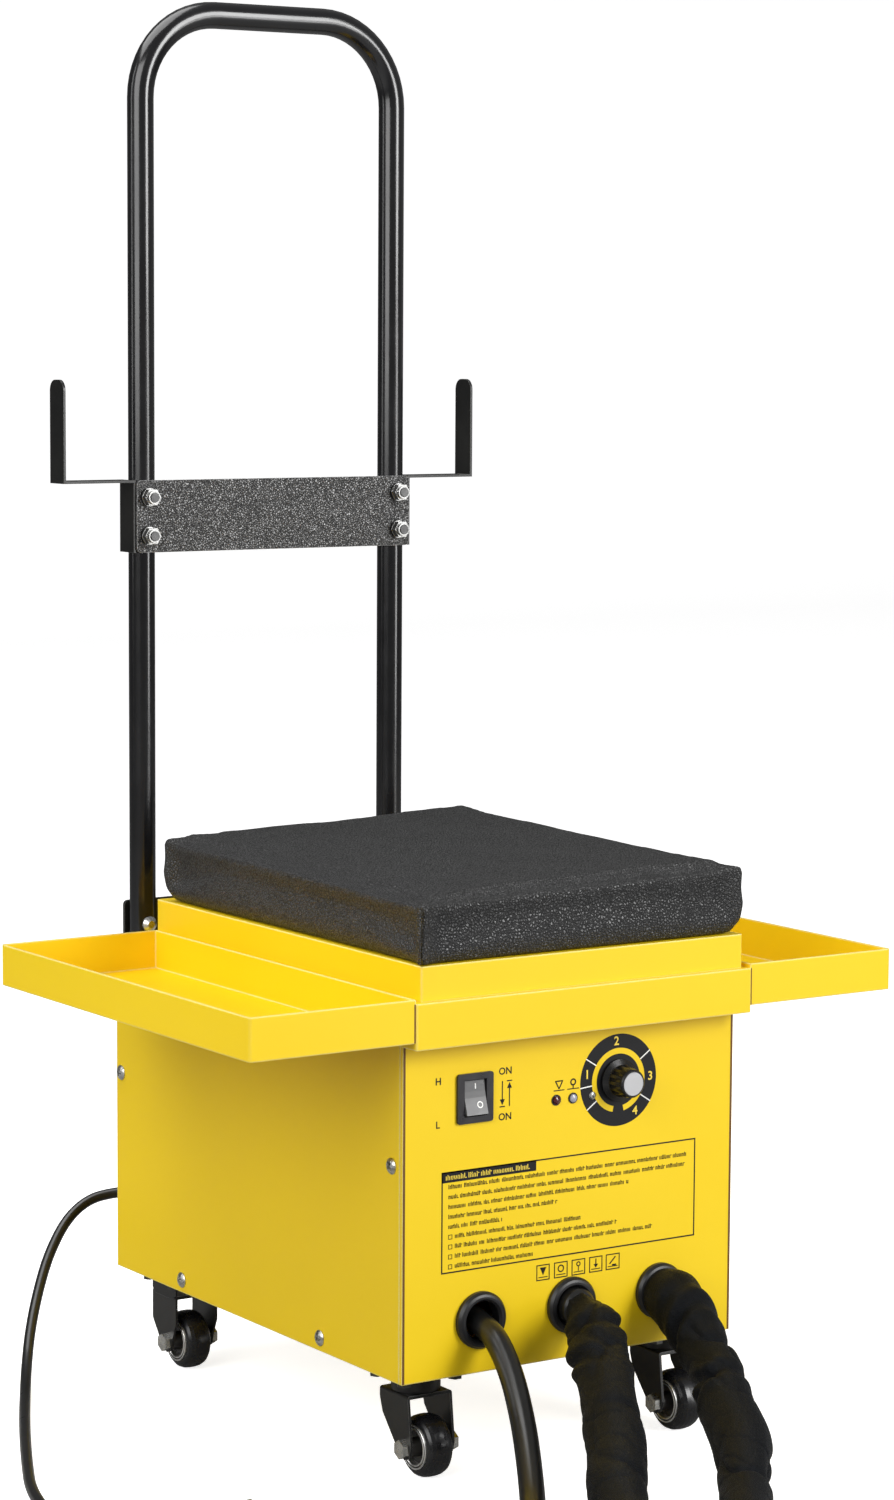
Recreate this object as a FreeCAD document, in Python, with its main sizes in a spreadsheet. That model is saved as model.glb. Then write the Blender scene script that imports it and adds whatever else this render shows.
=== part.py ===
import FreeCAD, Part
import math
import os
import Sketcher

os.makedirs("parts", exist_ok=True)

Vector = FreeCAD.Vector
doc = FreeCAD.newDocument("dent_puller")
sheet = doc.addObject("Spreadsheet::Sheet", "Sizes")

# Driving dimensions in millimetres, each written once.
# X runs to the right, Y to the back, Z up. The floor is at zero.
LENGTHS = {
    # Cabinet of folded sheet
    "cab_width": 308.0,
    "cab_depth": 442.0,
    "cab_height": 257.0,
    "ground_gap": 80.0,
    "sheet": 1.5,
    "base_sheet": 2.0,
    "lip_depth": 4.0,
    "flange_depth": 22.0,
    "base_flange": 20.0,
    "flange_gap": 2.0,
    "seam_gap": 0.3,
    "overrun": 3.0,
    # Screws of the cabinet
    "screw_dia": 4.0,
    "screw_head_dia": 9.0,
    "screw_head": 2.4,
    "screw_long": 5.0,
    "screw_hole_play": 0.1,
    "side_screw_end": 8.0,
    "side_screw_front": 15.0,
    "side_screw_high": 165.0,
    "side_screw_low": 10.4,
    "side_screw_low_front": 116.5,
    "side_screw_low_back": 332.0,
    # Cover with the band, the step and the rear ledge
    "cover_high": 35.0,
    "cover_over_front": 20.8,
    "cover_over_side": 1.6,
    "rear_ledge": 61.0,
    # Trays
    "tray_width": 141.7,
    "tray_front": 19.4,
    "tray_back_gap": 10.4,
    "tray_drop": 29.5,
    "tray_high": 32.7,
    "tray_bend": 3.0,
    # Seat
    "seat_box_inset": 4.9,
    "seat_box_front": 16.7,
    "seat_box_high": 26.8,
    "cushion_over": 3.0,
    "cushion_high": 47.0,
    "cushion_crown": 5.0,
    "cushion_draw": 4.0,
    "cushion_corner": 14.0,
    "board_high": 9.0,
    "board_inset": 16.0,
    # Handle tube
    "tube_dia": 22.0,
    "tube_wall": 1.8,
    "leg_inset": 31.3,
    "handle_top": 1135.0,
    "handle_bend": 70.0,
    "leg_foot": 150.0,
    "tube_gap": 0.2,
    # Bracket that the cables hang on
    "hanger_low": 680.0,
    "hanger_high": 60.0,
    "hanger_sheet": 2.0,
    "hanger_corner": 4.0,
    "hanger_over": 0.3,
    "hook_reach": 65.0,
    "hook_rise": 83.0,
    "hook_round": 9.0,
    "hook_back_plate": 25.0,
    "hanger_bolt_dia": 8.0,
    "hanger_bolt_inset": 14.0,
    "hex_across": 13.0,
    "hex_high": 6.0,
    "nut_collar": 2.4,
    "nut_collar_dia": 11.0,
    "washer_dia": 16.0,
    "washer_high": 1.5,
    "bolt_play": 0.08,
    "bolt_end": 1.0,
    # Stay and bolts at the foot of the handle
    "stay_low": 350.0,
    "stay_high": 36.0,
    "stay_sheet": 3.0,
    "dome_dia": 13.0,
    "dome_high": 4.5,
    "foot_bolt_low": 190.0,
    "foot_bolt_high": 280.0,
    # Openings of the rear panel
    "louvre_long": 60.0,
    "louvre_high": 4.0,
    "louvre_step": 12.0,
    "louvre_low": 190.0,
    "gland_inset": 54.0,
    "gland_z": 130.0,
    "gland_thread_dia": 16.0,
    "gland_dia": 22.0,
    "gland_long": 9.0,
    "gland_dome": 8.0,
    "gland_nut": 5.0,
    # Grommets and cables of the front panel
    "grommet_z": 121.0,
    "grommet_step": 84.0,
    "grommet_dia": 44.0,
    "grommet_hole": 36.0,
    "grommet_bore": 30.0,
    "grommet_front": 6.0,
    "grommet_rear": 4.0,
    "earth_dia": 19.0,
    "hose_dia": 40.0,
    "core_dia": 29.0,
    "mains_dia": 9.0,
    "lug_dia": 26.0,
    "lug_long": 22.0,
    "lug_depth": 34.0,
    # Rocker switch
    "rocker_x": 90.3,
    "rocker_z": 292.2,
    "bezel_width": 32.2,
    "bezel_high": 38.0,
    "bezel_front": 2.2,
    "bezel_body_width": 25.0,
    "bezel_body_high": 31.0,
    "bezel_body_depth": 24.0,
    "rocker_width": 19.0,
    "rocker_high": 27.0,
    "rocker_play": 0.5,
    "rocker_deep": 7.0,
    "rocker_nose": 3.6,
    "rocker_dip": 1.2,
    "rocker_pin_in": 1.2,
    # Knob, dial and lamps
    "knob_x": 43.3,
    "knob_z": 291.8,
    "knob_front": 20.0,
    "knob_stand": 1.0,
    "knob_skirt_dia": 33.0,
    "knob_skirt": 3.0,
    "knob_base_dia": 25.0,
    "knob_top_dia": 22.0,
    "flute_dia": 3.6,
    "knob_cap_dia": 18.0,
    "knob_cap": 1.2,
    "shaft_dia": 6.0,
    "shaft_play": 0.05,
    "shaft_in_knob": 12.0,
    "bush_dia": 10.0,
    "bush_front": 0.6,
    "pot_dia": 25.0,
    "pot_deep": 12.0,
    "lamp_z": 282.2,
    "lamp_red_x": 15.2,
    "lamp_clear_x": 0.4,
    "lamp_dia": 6.0,
    "lamp_rim_dia": 8.4,
    "lamp_front": 1.6,
    "lamp_body": 12.0,
    "front_screw_x": 18.9,
    # Transformer and what it feeds
    "core_width": 150.0,
    "core_high": 126.0,
    "core_stack": 96.0,
    "core_leg": 25.0,
    "core_y": 215.0,
    "core_foot": 3.0,
    "winding_gap": 1.0,
    "winding_out": 26.0,
    "bar_thick": 5.0,
    "bar_high": 30.0,
    "board_side_x": 138.0,
    "board_thick": 1.6,
    "board_y": 90.0,
    "board_long": 150.0,
    "board_tall": 110.0,
    "post_long": 8.0,
    "post_dia": 7.0,
    "relay_deep": 18.0,
    "relay_wide": 28.0,
    "sink_width": 100.0,
    "sink_deep": 60.0,
    "sink_inset": 70.0,
    "sink_base": 6.0,
    "sink_fin": 3.0,
    "sink_fin_high": 24.0,
    "module_high": 28.0,
    "module_width": 34.0,
    "module_long": 52.0,
    # Casters
    "wheel_dia": 48.0,
    "tyre_width": 22.0,
    "tyre_round": 6.0,
    "rim_dia": 34.4,
    "rim_proud": 1.4,
    "rim_lip": 1.1,
    "rim_groove": 1.4,
    "rim_dish": 5.0,
    "hub_dia": 15.0,
    "hub_long": 35.0,
    "hub_gap": 0.5,
    "fork_sheet": 2.0,
    "fork_crown_long": 39.0,
    "fork_crown_sheet": 2.5,
    "fork_end_round": 9.0,
    "axle_dia": 8.0,
    "axle_play": 0.06,
    "axle_hex": 13.0,
    "axle_head": 5.0,
    "caster_inset": 36.0,
    "caster_front_inset": 36.0,
    "caster_rear_inset": 51.3,
    "caster_trail": 15.3,
    "rear_trail": 4.5,
    "swivel_hip": 28.0,
    "rigid_hip": 14.0,
    "plate_long": 62.0,
    "plate_width": 54.0,
    "plate_sheet": 2.5,
    "plate_corner": 6.0,
    "race_dia": 38.0,
    "race_gap": 0.3,
    "crown_drop": 15.0,
    "king_dia": 9.0,
    "king_head_dia": 15.0,
    "king_head": 3.0,
    "caster_bolt_dia": 6.0,
    "caster_bolt_head": 10.0,
    "caster_bolt_head_high": 4.0,
    "caster_bolt_x": 23.0,
    "caster_bolt_y": 19.0,
    # Spot gun, lying on its side
    "gun_thick": 40.0,
    "gun_grip_long": 104.0,
    "gun_grip_wide": 40.0,
    "gun_barrel_wide": 40.0,
    "gun_front": 46.0,
    "gun_rear": 34.0,
    "gun_round": 7.0,
    "gun_collar_long": 10.0,
    "gun_collar_dia": 36.0,
    "gun_chuck_dia": 22.0,
    "gun_chuck_long": 20.0,
    "gun_rod_dia": 10.0,
    "gun_rod_long": 14.0,
    "gun_bore_dia": 5.0,
    "gun_bore_deep": 10.0,
    "trigger_wide": 12.0,
    "trigger_thick": 14.0,
    "trigger_long": 34.0,
    "trigger_sunk": 7.0,
    "trigger_play": 0.6,
    "trigger_travel": 4.5,
    "trigger_pin_dia": 3.0,
    # Earth clamp, lying on its side
    "clamp_wide": 22.0,
    "clamp_sheet": 2.0,
    "clamp_pivot": 84.0,
    "clamp_jaw_gap": 1.0,
    "clamp_pin_dia": 6.0,
    "clamp_barrel_dia": 22.0,
    "clamp_barrel_long": 18.0,
    # Plug
    "plug_wide": 34.0,
    "plug_high": 28.6,
    "plug_long": 42.0,
    "plug_round": 5.0,
    "plug_relief_long": 20.0,
    "plug_relief_dia": 13.0,
    "pin_dia": 4.8,
    "pin_long": 19.0,
    "pin_apart": 19.0,
    # Coil of the mains cord
    "coil_turn": 44.0,
    "coil_step": 9.8,
}


class Size:
    """A size: its value now, and the same as a formula of the sheet's words."""

    def __init__(self, value, text):
        self.value = float(value)
        self.text = text

    def __add__(self, other):
        other = size(other)
        return Size(self.value + other.value, "(%s + %s)" % (self.text, other.text))

    __radd__ = __add__

    def __sub__(self, other):
        other = size(other)
        return Size(self.value - other.value, "(%s - %s)" % (self.text, other.text))

    def __rsub__(self, other):
        return size(other) - self

    def __mul__(self, other):
        other = size(other)
        return Size(self.value * other.value, "(%s * %s)" % (self.text, other.text))

    __rmul__ = __mul__

    def __truediv__(self, other):
        other = size(other)
        return Size(self.value / other.value, "(%s / %s)" % (self.text, other.text))

    def __neg__(self):
        return Size(-self.value, "(0 - %s)" % self.text)


def size(item):
    return item if isinstance(item, Size) else Size(item, "%.9g" % item)


class Sheet:
    pass


s = Sheet()
for row, (word, number) in enumerate(LENGTHS.items(), start=1):
    sheet.set("A%d" % row, word)
    sheet.set("B%d" % row, "%.9g" % number)
    sheet.setAlias("B%d" % row, word)
doc.recompute()
for word in LENGTHS:
    setattr(s, word, Size(sheet.get(word), "Sizes." + word))

# The rocker leans this many degrees to either side of the middle.
ROCKER_LEAN = 12

AXES = {"X": Vector(1, 0, 0), "Y": Vector(0, 1, 0), "Z": Vector(0, 0, 1)}
PLANES = {"XY": "XY_Plane", "XZ": "XZ_Plane", "YZ": "YZ_Plane"}
nodes = {}
count = [0]


def fresh(kind):
    count[0] += 1
    return "%s_%03d" % (kind, count[0])


def bind(item, prop, value):
    item.setExpression(prop, size(value).text)


def put(item, x=0, y=0, z=0, turn=None):
    """Places an object at named distances, turned by a fixed rotation if one is given."""
    if turn is not None:
        item.Placement = FreeCAD.Placement(Vector(), turn)
    for name, value in (("x", x), ("y", y), ("z", z)):
        if isinstance(value, Size):
            bind(item, "Placement.Base." + name, value)
    return item


def block(x0, x1, y0, y1, z0, z1):
    item = doc.addObject("Part::Box", fresh("block"))
    bind(item, "Length", size(x1) - x0)
    bind(item, "Width", size(y1) - y0)
    bind(item, "Height", size(z1) - z0)
    return put(item, size(x0), size(y0), size(z0))


TURNS = {
    "X": FreeCAD.Rotation(Vector(0, 0, 1), Vector(1, 0, 0)),
    "Y": FreeCAD.Rotation(Vector(0, 0, 1), Vector(0, 1, 0)),
    "Z": FreeCAD.Rotation(),
}


def rod(axis, x, y, z, dia, long):
    """A round bar that starts at a point and runs along +axis."""
    item = doc.addObject("Part::Cylinder", fresh("rod"))
    bind(item, "Radius", size(dia) / 2)
    bind(item, "Height", long)
    return put(item, size(x), size(y), size(z), TURNS[axis])


def taper(axis, x, y, z, dia0, dia1, long):
    item = doc.addObject("Part::Cone", fresh("taper"))
    bind(item, "Radius1", size(dia0) / 2)
    bind(item, "Radius2", size(dia1) / 2)
    bind(item, "Height", long)
    return put(item, size(x), size(y), size(z), TURNS[axis])


def hexagon(axis, x, y, z, across, long):
    item = doc.addObject("Part::Prism", fresh("hexagon"))
    item.Polygon = 6
    bind(item, "Circumradius", size(across) / 2 / math.cos(math.pi / 6))
    bind(item, "Height", long)
    return put(item, size(x), size(y), size(z), TURNS[axis])


def minus(base, *tools):
    item = doc.addObject("Part::Cut", fresh("cut"))
    item.Base = base
    item.Tool = tools[0] if len(tools) == 1 else plus(*tools)
    return item


def plus(*parts):
    item = doc.addObject("Part::MultiFuse", fresh("fuse"))
    item.Shapes = list(parts)
    item.Refine = True
    return item


def group(*parts):
    item = doc.addObject("Part::Compound", fresh("group"))
    item.Links = list(parts)
    return item


def mirrored(item):
    """The same piece on the other side of the middle plane."""
    other = doc.addObject("Part::Mirroring", fresh("mirror"))
    other.Source = item
    other.Normal = Vector(1, 0, 0)
    return other


def copy_at(item, x=0, y=0, z=0, turn=None):
    return put(group(item), x, y, z, turn)


def name(item, label):
    item.Label = label
    nodes[label] = item
    return item


def sketch(body, plane, offset):
    item = body.newObject("Sketcher::SketchObject", fresh("sketch"))
    base = [o for o in body.Origin.OriginFeatures if o.Role == PLANES[plane]][0]
    item.AttachmentSupport = [(base, "")]
    item.MapMode = "FlatFace"
    away = -size(offset) if plane == "XZ" else size(offset)
    bind(item, "AttachmentOffset.Base.z", away)
    return item


def draw(item, points):
    """A closed outline of straight edges, each corner held by two named distances."""
    points = [(size(u), size(w)) for u, w in points]
    first = item.GeometryCount
    total = len(points)
    for i in range(total):
        a = points[i]
        b = points[(i + 1) % total]
        line = Part.LineSegment(Vector(a[0].value, a[1].value, 0), Vector(b[0].value, b[1].value, 0))
        item.addGeometry(line, False)
    for i in range(total):
        item.addConstraint(Sketcher.Constraint("Coincident", first + i, 2, first + (i + 1) % total, 1))
    for i in range(total):
        for kind, value in (("DistanceX", points[i][0]), ("DistanceY", points[i][1])):
            k = item.addConstraint(Sketcher.Constraint(kind, -1, 1, first + i, 1, value.value))
            bind(item, "Constraints[%d]" % k, value)


def ring(item, u, w, dia):
    u = size(u)
    w = size(w)
    dia = size(dia)
    k = item.addGeometry(Part.Circle(Vector(u.value, w.value, 0), Vector(0, 0, 1), dia.value / 2), False)
    c = item.addConstraint(Sketcher.Constraint("Diameter", k, dia.value))
    bind(item, "Constraints[%d]" % c, dia)
    for kind, value in (("DistanceX", u), ("DistanceY", w)):
        c = item.addConstraint(Sketcher.Constraint(kind, -1, 1, k, 3, value.value))
        bind(item, "Constraints[%d]" % c, value)


def new_body():
    return doc.addObject("PartDesign::Body", fresh("body"))


def pad(body, plane, start, end, outlines=(), rings=()):
    """Adds a prism whose section lies in a plane, between two places along its normal."""
    item = sketch(body, plane, start)
    for points in outlines:
        draw(item, points)
    for spec in rings:
        ring(item, *spec)
    feature = body.newObject("PartDesign::Pad", fresh("pad"))
    feature.Profile = item
    bind(feature, "Length", size(end) - start)
    feature.Reversed = plane == "XZ"
    return feature


def pocket(body, plane, start, end, outlines=(), rings=()):
    """Takes away a prism, and checks that something was cut."""
    doc.recompute()
    before = body.Shape.Volume
    item = sketch(body, plane, start)
    for points in outlines:
        draw(item, points)
    for spec in rings:
        ring(item, *spec)
    feature = body.newObject("PartDesign::Pocket", fresh("pocket"))
    feature.Profile = item
    bind(feature, "Length", size(end) - start)
    feature.Reversed = plane != "XZ"
    doc.recompute()
    if body.Shape.Volume >= before:
        raise SystemExit("a pocket cut nothing: " + feature.Name)
    return feature


def revolve(body, plane, points, axis):
    """A turned piece: the outline goes once round the body's own axis."""
    item = sketch(body, plane, 0)
    draw(item, points)
    feature = body.newObject("PartDesign::Revolution", fresh("turned"))
    feature.Profile = item
    feature.ReferenceAxis = (item, [axis])
    feature.Angle = 360
    return feature


def chosen_edges(shape, test):
    return ["Edge%d" % (i + 1) for i, e in enumerate(shape.Edges) if test(e)]


def straight(edge, axis):
    """Whether an edge is straight and runs along an axis."""
    if edge.Curve.TypeId != "Part::GeomLine":
        return False
    way = edge.Vertexes[-1].Point - edge.Vertexes[0].Point
    return way.Length > 0 and abs(way.normalize().dot(AXES[axis])) > 0.999


def fillet(body, radius, test):
    doc.recompute()
    base = body.Tip
    names = chosen_edges(base.Shape, test)
    if not names:
        raise SystemExit("no edges to round in " + body.Name)
    feature = body.newObject("PartDesign::Fillet", fresh("fillet"))
    feature.Base = (base, names)
    bind(feature, "Radius", radius)
    doc.recompute()
    return feature


def rect(u0, u1, w0, w1):
    return [(u0, w0), (u1, w0), (u1, w1), (u0, w1)]


# Places that several pieces share.
half = s.cab_width / 2
leg_half = half - s.leg_inset
leg_back = s.cab_depth + s.tube_gap + s.tube_dia / 2
rear_reach = leg_back + s.tube_dia / 2 + s.stay_sheet + s.hex_high
front = -(rear_reach - s.cover_over_front) / 2
back = front + s.cab_depth
low = s.ground_gap
band_low = s.ground_gap + s.cab_height
band_top = band_low + s.cover_high
leg_y = front + leg_back
caster_x = half - s.caster_inset
front_y = front + s.caster_front_inset
rear_y = back - s.caster_rear_inset
gland_x = half - s.gland_inset
hole = s.screw_dia + s.screw_hole_play * 2

# Base plate: a shallow tray with side flanges that take the lower side screws.
base_in = half - s.sheet
body = new_body()
base_y0 = front + s.sheet + s.seam_gap
base_y1 = back - s.sheet - s.seam_gap
pad(body, "XY", low, low + s.base_sheet, [rect(-base_in, base_in, base_y0, base_y1)])
flange_y0 = front + s.flange_depth + s.flange_gap
flange_y1 = back - s.flange_depth - s.flange_gap
for x0, x1 in ((-base_in, -base_in + s.sheet), (base_in - s.sheet, base_in)):
    pad(body, "XY", low, low + s.base_flange, [rect(x0, x1, flange_y0, flange_y1)])
low_screws = [
    (front + s.side_screw_low_front, low + s.side_screw_low),
    (front + s.side_screw_low_back, low + s.side_screw_low),
]
pocket(body, "YZ", -base_in - s.overrun, base_in + s.overrun, [], [(y, z, hole) for y, z in low_screws])
caster_spots = [(-caster_x, front_y), (caster_x, front_y), (-caster_x, rear_y), (caster_x, rear_y)]
bolt_spots = [
    (x + i * s.caster_bolt_x, y + j * s.caster_bolt_y)
    for x, y in caster_spots
    for i in (-1, 1)
    for j in (-1, 1)
]
bolt_hole = s.caster_bolt_dia + s.bolt_play * 2
pocket(
    body, "XY", low - s.overrun, low + s.base_sheet + s.overrun, [], [(x, y, bolt_hole) for x, y in bolt_spots]
)
name(body, "base_plate")

# Front panel: plate, short outer lips at the corners and flanges behind the side panels.
panel_top = band_top - s.sheet
body = new_body()
pad(body, "XZ", front, front + s.sheet, [rect(-half, half, low, panel_top)])
flange_low = low + s.base_flange + s.flange_gap
for sign in (-1, 1):
    pad(
        body,
        "XY",
        low,
        panel_top,
        [rect(*sorted((sign * half, sign * base_in), key=lambda q: q.value), front, front + s.lip_depth)],
    )
    inner = sign * (base_in - s.sheet)
    pad(
        body,
        "XY",
        flange_low,
        panel_top,
        [rect(*sorted((sign * base_in, inner), key=lambda q: q.value), front, front + s.flange_depth)],
    )
front_holes = [(x, s.grommet_z, s.grommet_hole) for x in (-s.grommet_step, size(0), s.grommet_step)]
front_holes += [
    (s.knob_x, s.knob_z, s.bush_dia + s.bolt_play * 2),
    (-s.lamp_red_x, s.lamp_z, s.lamp_dia + s.bolt_play * 2),
    (s.lamp_clear_x, s.lamp_z, s.lamp_dia + s.bolt_play * 2),
    (s.front_screw_x, s.lamp_z, hole),
]
window_x0 = -s.rocker_x - s.bezel_body_width / 2 - s.bolt_play
window_x1 = -s.rocker_x + s.bezel_body_width / 2 + s.bolt_play
window_z0 = s.rocker_z - s.bezel_body_high / 2 - s.bolt_play
window_z1 = s.rocker_z + s.bezel_body_high / 2 + s.bolt_play
pocket(
    body,
    "XZ",
    front - s.overrun,
    front + s.sheet + s.overrun,
    [rect(window_x0, window_x1, window_z0, window_z1)],
    front_holes,
)
high_screw = (front + s.side_screw_front, low + s.side_screw_high)
rear_screw = (back - s.side_screw_end, low + s.side_screw_high)
pocket(body, "YZ", -half - s.overrun, half + s.overrun, [], [(*high_screw, hole)])
name(body, "front_panel")

# Rear panel: plate with side flanges, rows of louvre slots, the cord's hole and the handle's holes.
body = new_body()
pad(body, "XZ", back - s.sheet, back, [rect(-base_in, base_in, low, band_low)])
for sign in (-1, 1):
    inner = sign * (base_in - s.sheet)
    pad(
        body,
        "XY",
        flange_low,
        band_low,
        [rect(*sorted((sign * base_in, inner), key=lambda q: q.value), back - s.flange_depth, back)],
    )
leg_bolts = [(x, z) for x in (-leg_half, leg_half) for z in (s.foot_bolt_low, s.foot_bolt_high)]
hanger_hole = s.hanger_bolt_dia + s.bolt_play * 2
pocket(
    body,
    "XZ",
    back - s.sheet - s.overrun,
    back + s.overrun,
    [],
    [(x, z, hanger_hole) for x, z in leg_bolts] + [(-gland_x, s.gland_z, s.gland_thread_dia + s.bolt_play * 2)],
)
pocket(body, "YZ", -half - s.overrun, half + s.overrun, [], [(*rear_screw, hole)])
slots = []
for column in (-1, 0):
    for line in range(7):
        x0 = column * (s.louvre_long + s.louvre_step) + s.louvre_step / 2
        z0 = s.louvre_low + line * s.louvre_step
        slots.append(rect(x0, x0 + s.louvre_long, z0, z0 + s.louvre_high))
pocket(body, "XZ", back - s.sheet - s.overrun, back + s.overrun, slots)
name(body, "rear_panel")

# Side panels: they step down behind the cover.
body = new_body()
side_front = front + s.lip_depth + s.seam_gap
cover_back = back - s.rear_ledge
step_back = cover_back - s.sheet - s.seam_gap
profile = [
    (side_front, low),
    (back, low),
    (back, band_low),
    (step_back, band_low),
    (step_back, panel_top),
    (side_front, panel_top),
]
pad(body, "YZ", -half, -half + s.sheet, [profile])
pocket(
    body,
    "YZ",
    -half - s.overrun,
    -half + s.sheet + s.overrun,
    [],
    [(y, z, hole) for y, z in low_screws + [high_screw, rear_screw]],
)
name(body, "left_side_panel")
name(mirrored(body), "right_side_panel")


def pan_screw(axis_sign, y, z):
    """A pan head screw that goes into a side panel."""
    x = axis_sign * half
    if axis_sign < 0:
        head = taper("X", x - s.screw_head, y, z, s.screw_head_dia * 0.62, s.screw_head_dia, s.screw_head)
        shank = rod("X", x, y, z, s.screw_dia, s.screw_long)
    else:
        head = taper("X", x, y, z, s.screw_head_dia, s.screw_head_dia * 0.62, s.screw_head)
        shank = rod("X", x - s.screw_long, y, z, s.screw_dia, s.screw_long)
    return plus(head, shank)


screws = [pan_screw(sign, y, z) for sign in (-1, 1) for y, z in low_screws + [high_screw, rear_screw]]
screws.append(
    plus(
        taper(
            "Y", s.front_screw_x, front - s.screw_head / 2, s.lamp_z, s.screw_dia * 1.2, s.lamp_dia, s.screw_head / 2
        ),
        rod("Y", s.front_screw_x, front, s.lamp_z, s.screw_dia, s.screw_long),
    )
)
name(group(*screws), "panel_screws")

# Cover: top sheet with band skirts, closed below in front, and a step down to the rear ledge.
body = new_body()
cover_x = half + s.cover_over_side
cover_y0 = front - s.cover_over_front
pad(body, "XY", band_low, band_top, [rect(-cover_x, cover_x, cover_y0, cover_back)])
pocket(
    body,
    "XY",
    band_low - s.overrun,
    band_top - s.sheet,
    [rect(-cover_x + s.sheet, cover_x - s.sheet, front - s.seam_gap, cover_back - s.sheet)],
)
pocket(
    body,
    "XY",
    band_low + s.sheet,
    band_top - s.sheet,
    [
        rect(
            -cover_x + s.sheet,
            cover_x - s.sheet,
            cover_y0 + s.sheet,
            front + s.overrun,
        )
    ],
)
pad(body, "XY", band_low, band_low + s.sheet, [rect(-half, half, cover_back - s.sheet, back)])
fillet(
    body,
    s.sheet,
    lambda e: straight(e, "Z")
    and abs(abs(e.CenterOfMass.x) - cover_x.value) < 0.01
    and e.CenterOfMass.y < cover_y0.value + 0.01,
)
name(body, "top_cover")

# Trays: folded open boxes on both sides of the cover.
body = new_body()
tray_x0 = -cover_x - s.tray_width
tray_x1 = -cover_x
tray_y0 = front - s.tray_front
tray_y1 = cover_back - s.tray_back_gap
tray_z0 = band_top - s.tray_drop
tray_z1 = tray_z0 + s.tray_high
pad(body, "XY", tray_z0, tray_z1, [rect(tray_x0, tray_x1, tray_y0, tray_y1)])
fillet(
    body,
    s.tray_bend,
    lambda e: straight(e, "Z") and abs(e.CenterOfMass.x - tray_x0.value) < 0.01,
)
pocket(
    body,
    "XY",
    tray_z0 + s.sheet,
    tray_z1 + s.overrun,
    [rect(tray_x0 + s.sheet, tray_x1 - s.sheet, tray_y0 + s.sheet, tray_y1 - s.sheet)],
)
name(body, "left_tray")
name(mirrored(body), "right_tray")

# Seat box: a folded lid that carries the cushion.
body = new_body()
seat_x = half - s.seat_box_inset
seat_y0 = front - s.seat_box_front
seat_top = band_top + s.seat_box_high
pad(body, "XY", band_top, seat_top, [rect(-seat_x, seat_x, seat_y0, cover_back)])
fillet(body, s.sheet, lambda e: straight(e, "Z"))
pocket(
    body,
    "XY",
    band_top - s.overrun,
    seat_top - s.sheet,
    [rect(-seat_x + s.sheet, seat_x - s.sheet, seat_y0 + s.sheet, cover_back - s.sheet)],
)
name(body, "seat_box")

# Seat board: plywood under the cushion.
body = new_body()
board_x = seat_x - s.board_inset
pad(
    body,
    "XY",
    seat_top,
    seat_top + s.board_high,
    [rect(-board_x, board_x, seat_y0 + s.board_inset, cover_back - s.board_inset)],
)
fillet(body, s.cushion_corner / 2, lambda e: straight(e, "Z"))
name(body, "seat_board")


def cushion_section(z, out, corner):
    """One level of the cushion: a rounded rectangle of lines and quarter arcs."""
    x1 = seat_x.value + out
    y0 = seat_y0.value - out
    y1 = cover_back.value + out
    x0 = -x1
    c = corner
    k = c * (1 - math.sqrt(0.5))
    corners = [((x1, y0), (-1, 1)), ((x1, y1), (-1, -1)), ((x0, y1), (1, -1)), ((x0, y0), (1, 1))]
    edges = []
    arcs = []
    for (cx, cy), (ix, iy) in corners:
        along = Vector(cx + ix * c, cy, z)
        across = Vector(cx, cy + iy * c, z)
        middle = Vector(cx + ix * k, cy + iy * k, z)
        first, last = (along, across) if ix * iy < 0 else (across, along)
        arcs.append((first, middle, last))
    for i in range(4):
        first, middle, last = arcs[i]
        edges.append(Part.Arc(first, middle, last).toShape())
        edges.append(Part.LineSegment(last, arcs[(i + 1) % 4][0]).toShape())
    return Part.Wire(edges)


# Cushion: drawn in at the seam, full at the middle of its sides and crowned on top.
over = s.cushion_over.value
draw_in = s.cushion_draw.value
high = s.cushion_high.value
crown = s.cushion_crown.value
corner = s.cushion_corner.value
foot_z = seat_top.value
level_shares = [
    (0.0, -0.7, 0.55),
    (0.12, 0.35, 0.9),
    (0.35, 1.0, 1.0),
    (0.62, 0.9, 1.0),
    (0.84, 0.2, 1.0),
    (0.93, -1.2, 1.05),
]
sections = [
    cushion_section(foot_z + up * (high - crown), over * out, corner * curve) for up, out, curve in level_shares
]
side = Part.makeLoft(sections, True, True)
top_from = foot_z + level_shares[-1][0] * (high - crown)
top_out = over * level_shares[-1][1]
crown_shares = [(0.0, 0.0, 1.05), (0.45, -0.8, 1.3), (0.8, -3.4, 1.8), (1.0, -7.0, 2.4)]
crown_sections = [
    cushion_section(top_from + up * (foot_z + high - top_from), top_out + draw_in * out, corner * curve)
    for up, out, curve in crown_shares
]
cap = Part.makeLoft(crown_sections, True, True)
seat = side.fuse(cap)
well = Part.makeBox(
    board_x.value * 2 + s.seam_gap.value * 2,
    cover_back.value - seat_y0.value - s.board_inset.value * 2 + s.seam_gap.value * 2,
    s.board_high.value + s.seam_gap.value + s.overrun.value,
    Vector(
        -board_x.value - s.seam_gap.value,
        seat_y0.value + s.board_inset.value - s.seam_gap.value,
        foot_z - s.overrun.value,
    ),
)
cushion = doc.addObject("Part::Feature", "cushion_form")
cushion.Shape = seat.cut(well)
name(cushion, "seat_cushion")

# Handle: one bent tube with two legs behind the cabinet.
bend_z = s.handle_top - s.tube_dia / 2 - s.handle_bend
top_z = s.handle_top - s.tube_dia / 2


def hollow_leg(x):
    wide = rod("Z", x, leg_y, s.leg_foot, s.tube_dia, bend_z - s.leg_foot)
    return minus(wide, rod("Z", x, leg_y, s.leg_foot, tube_bore, bend_z - s.leg_foot))


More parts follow.
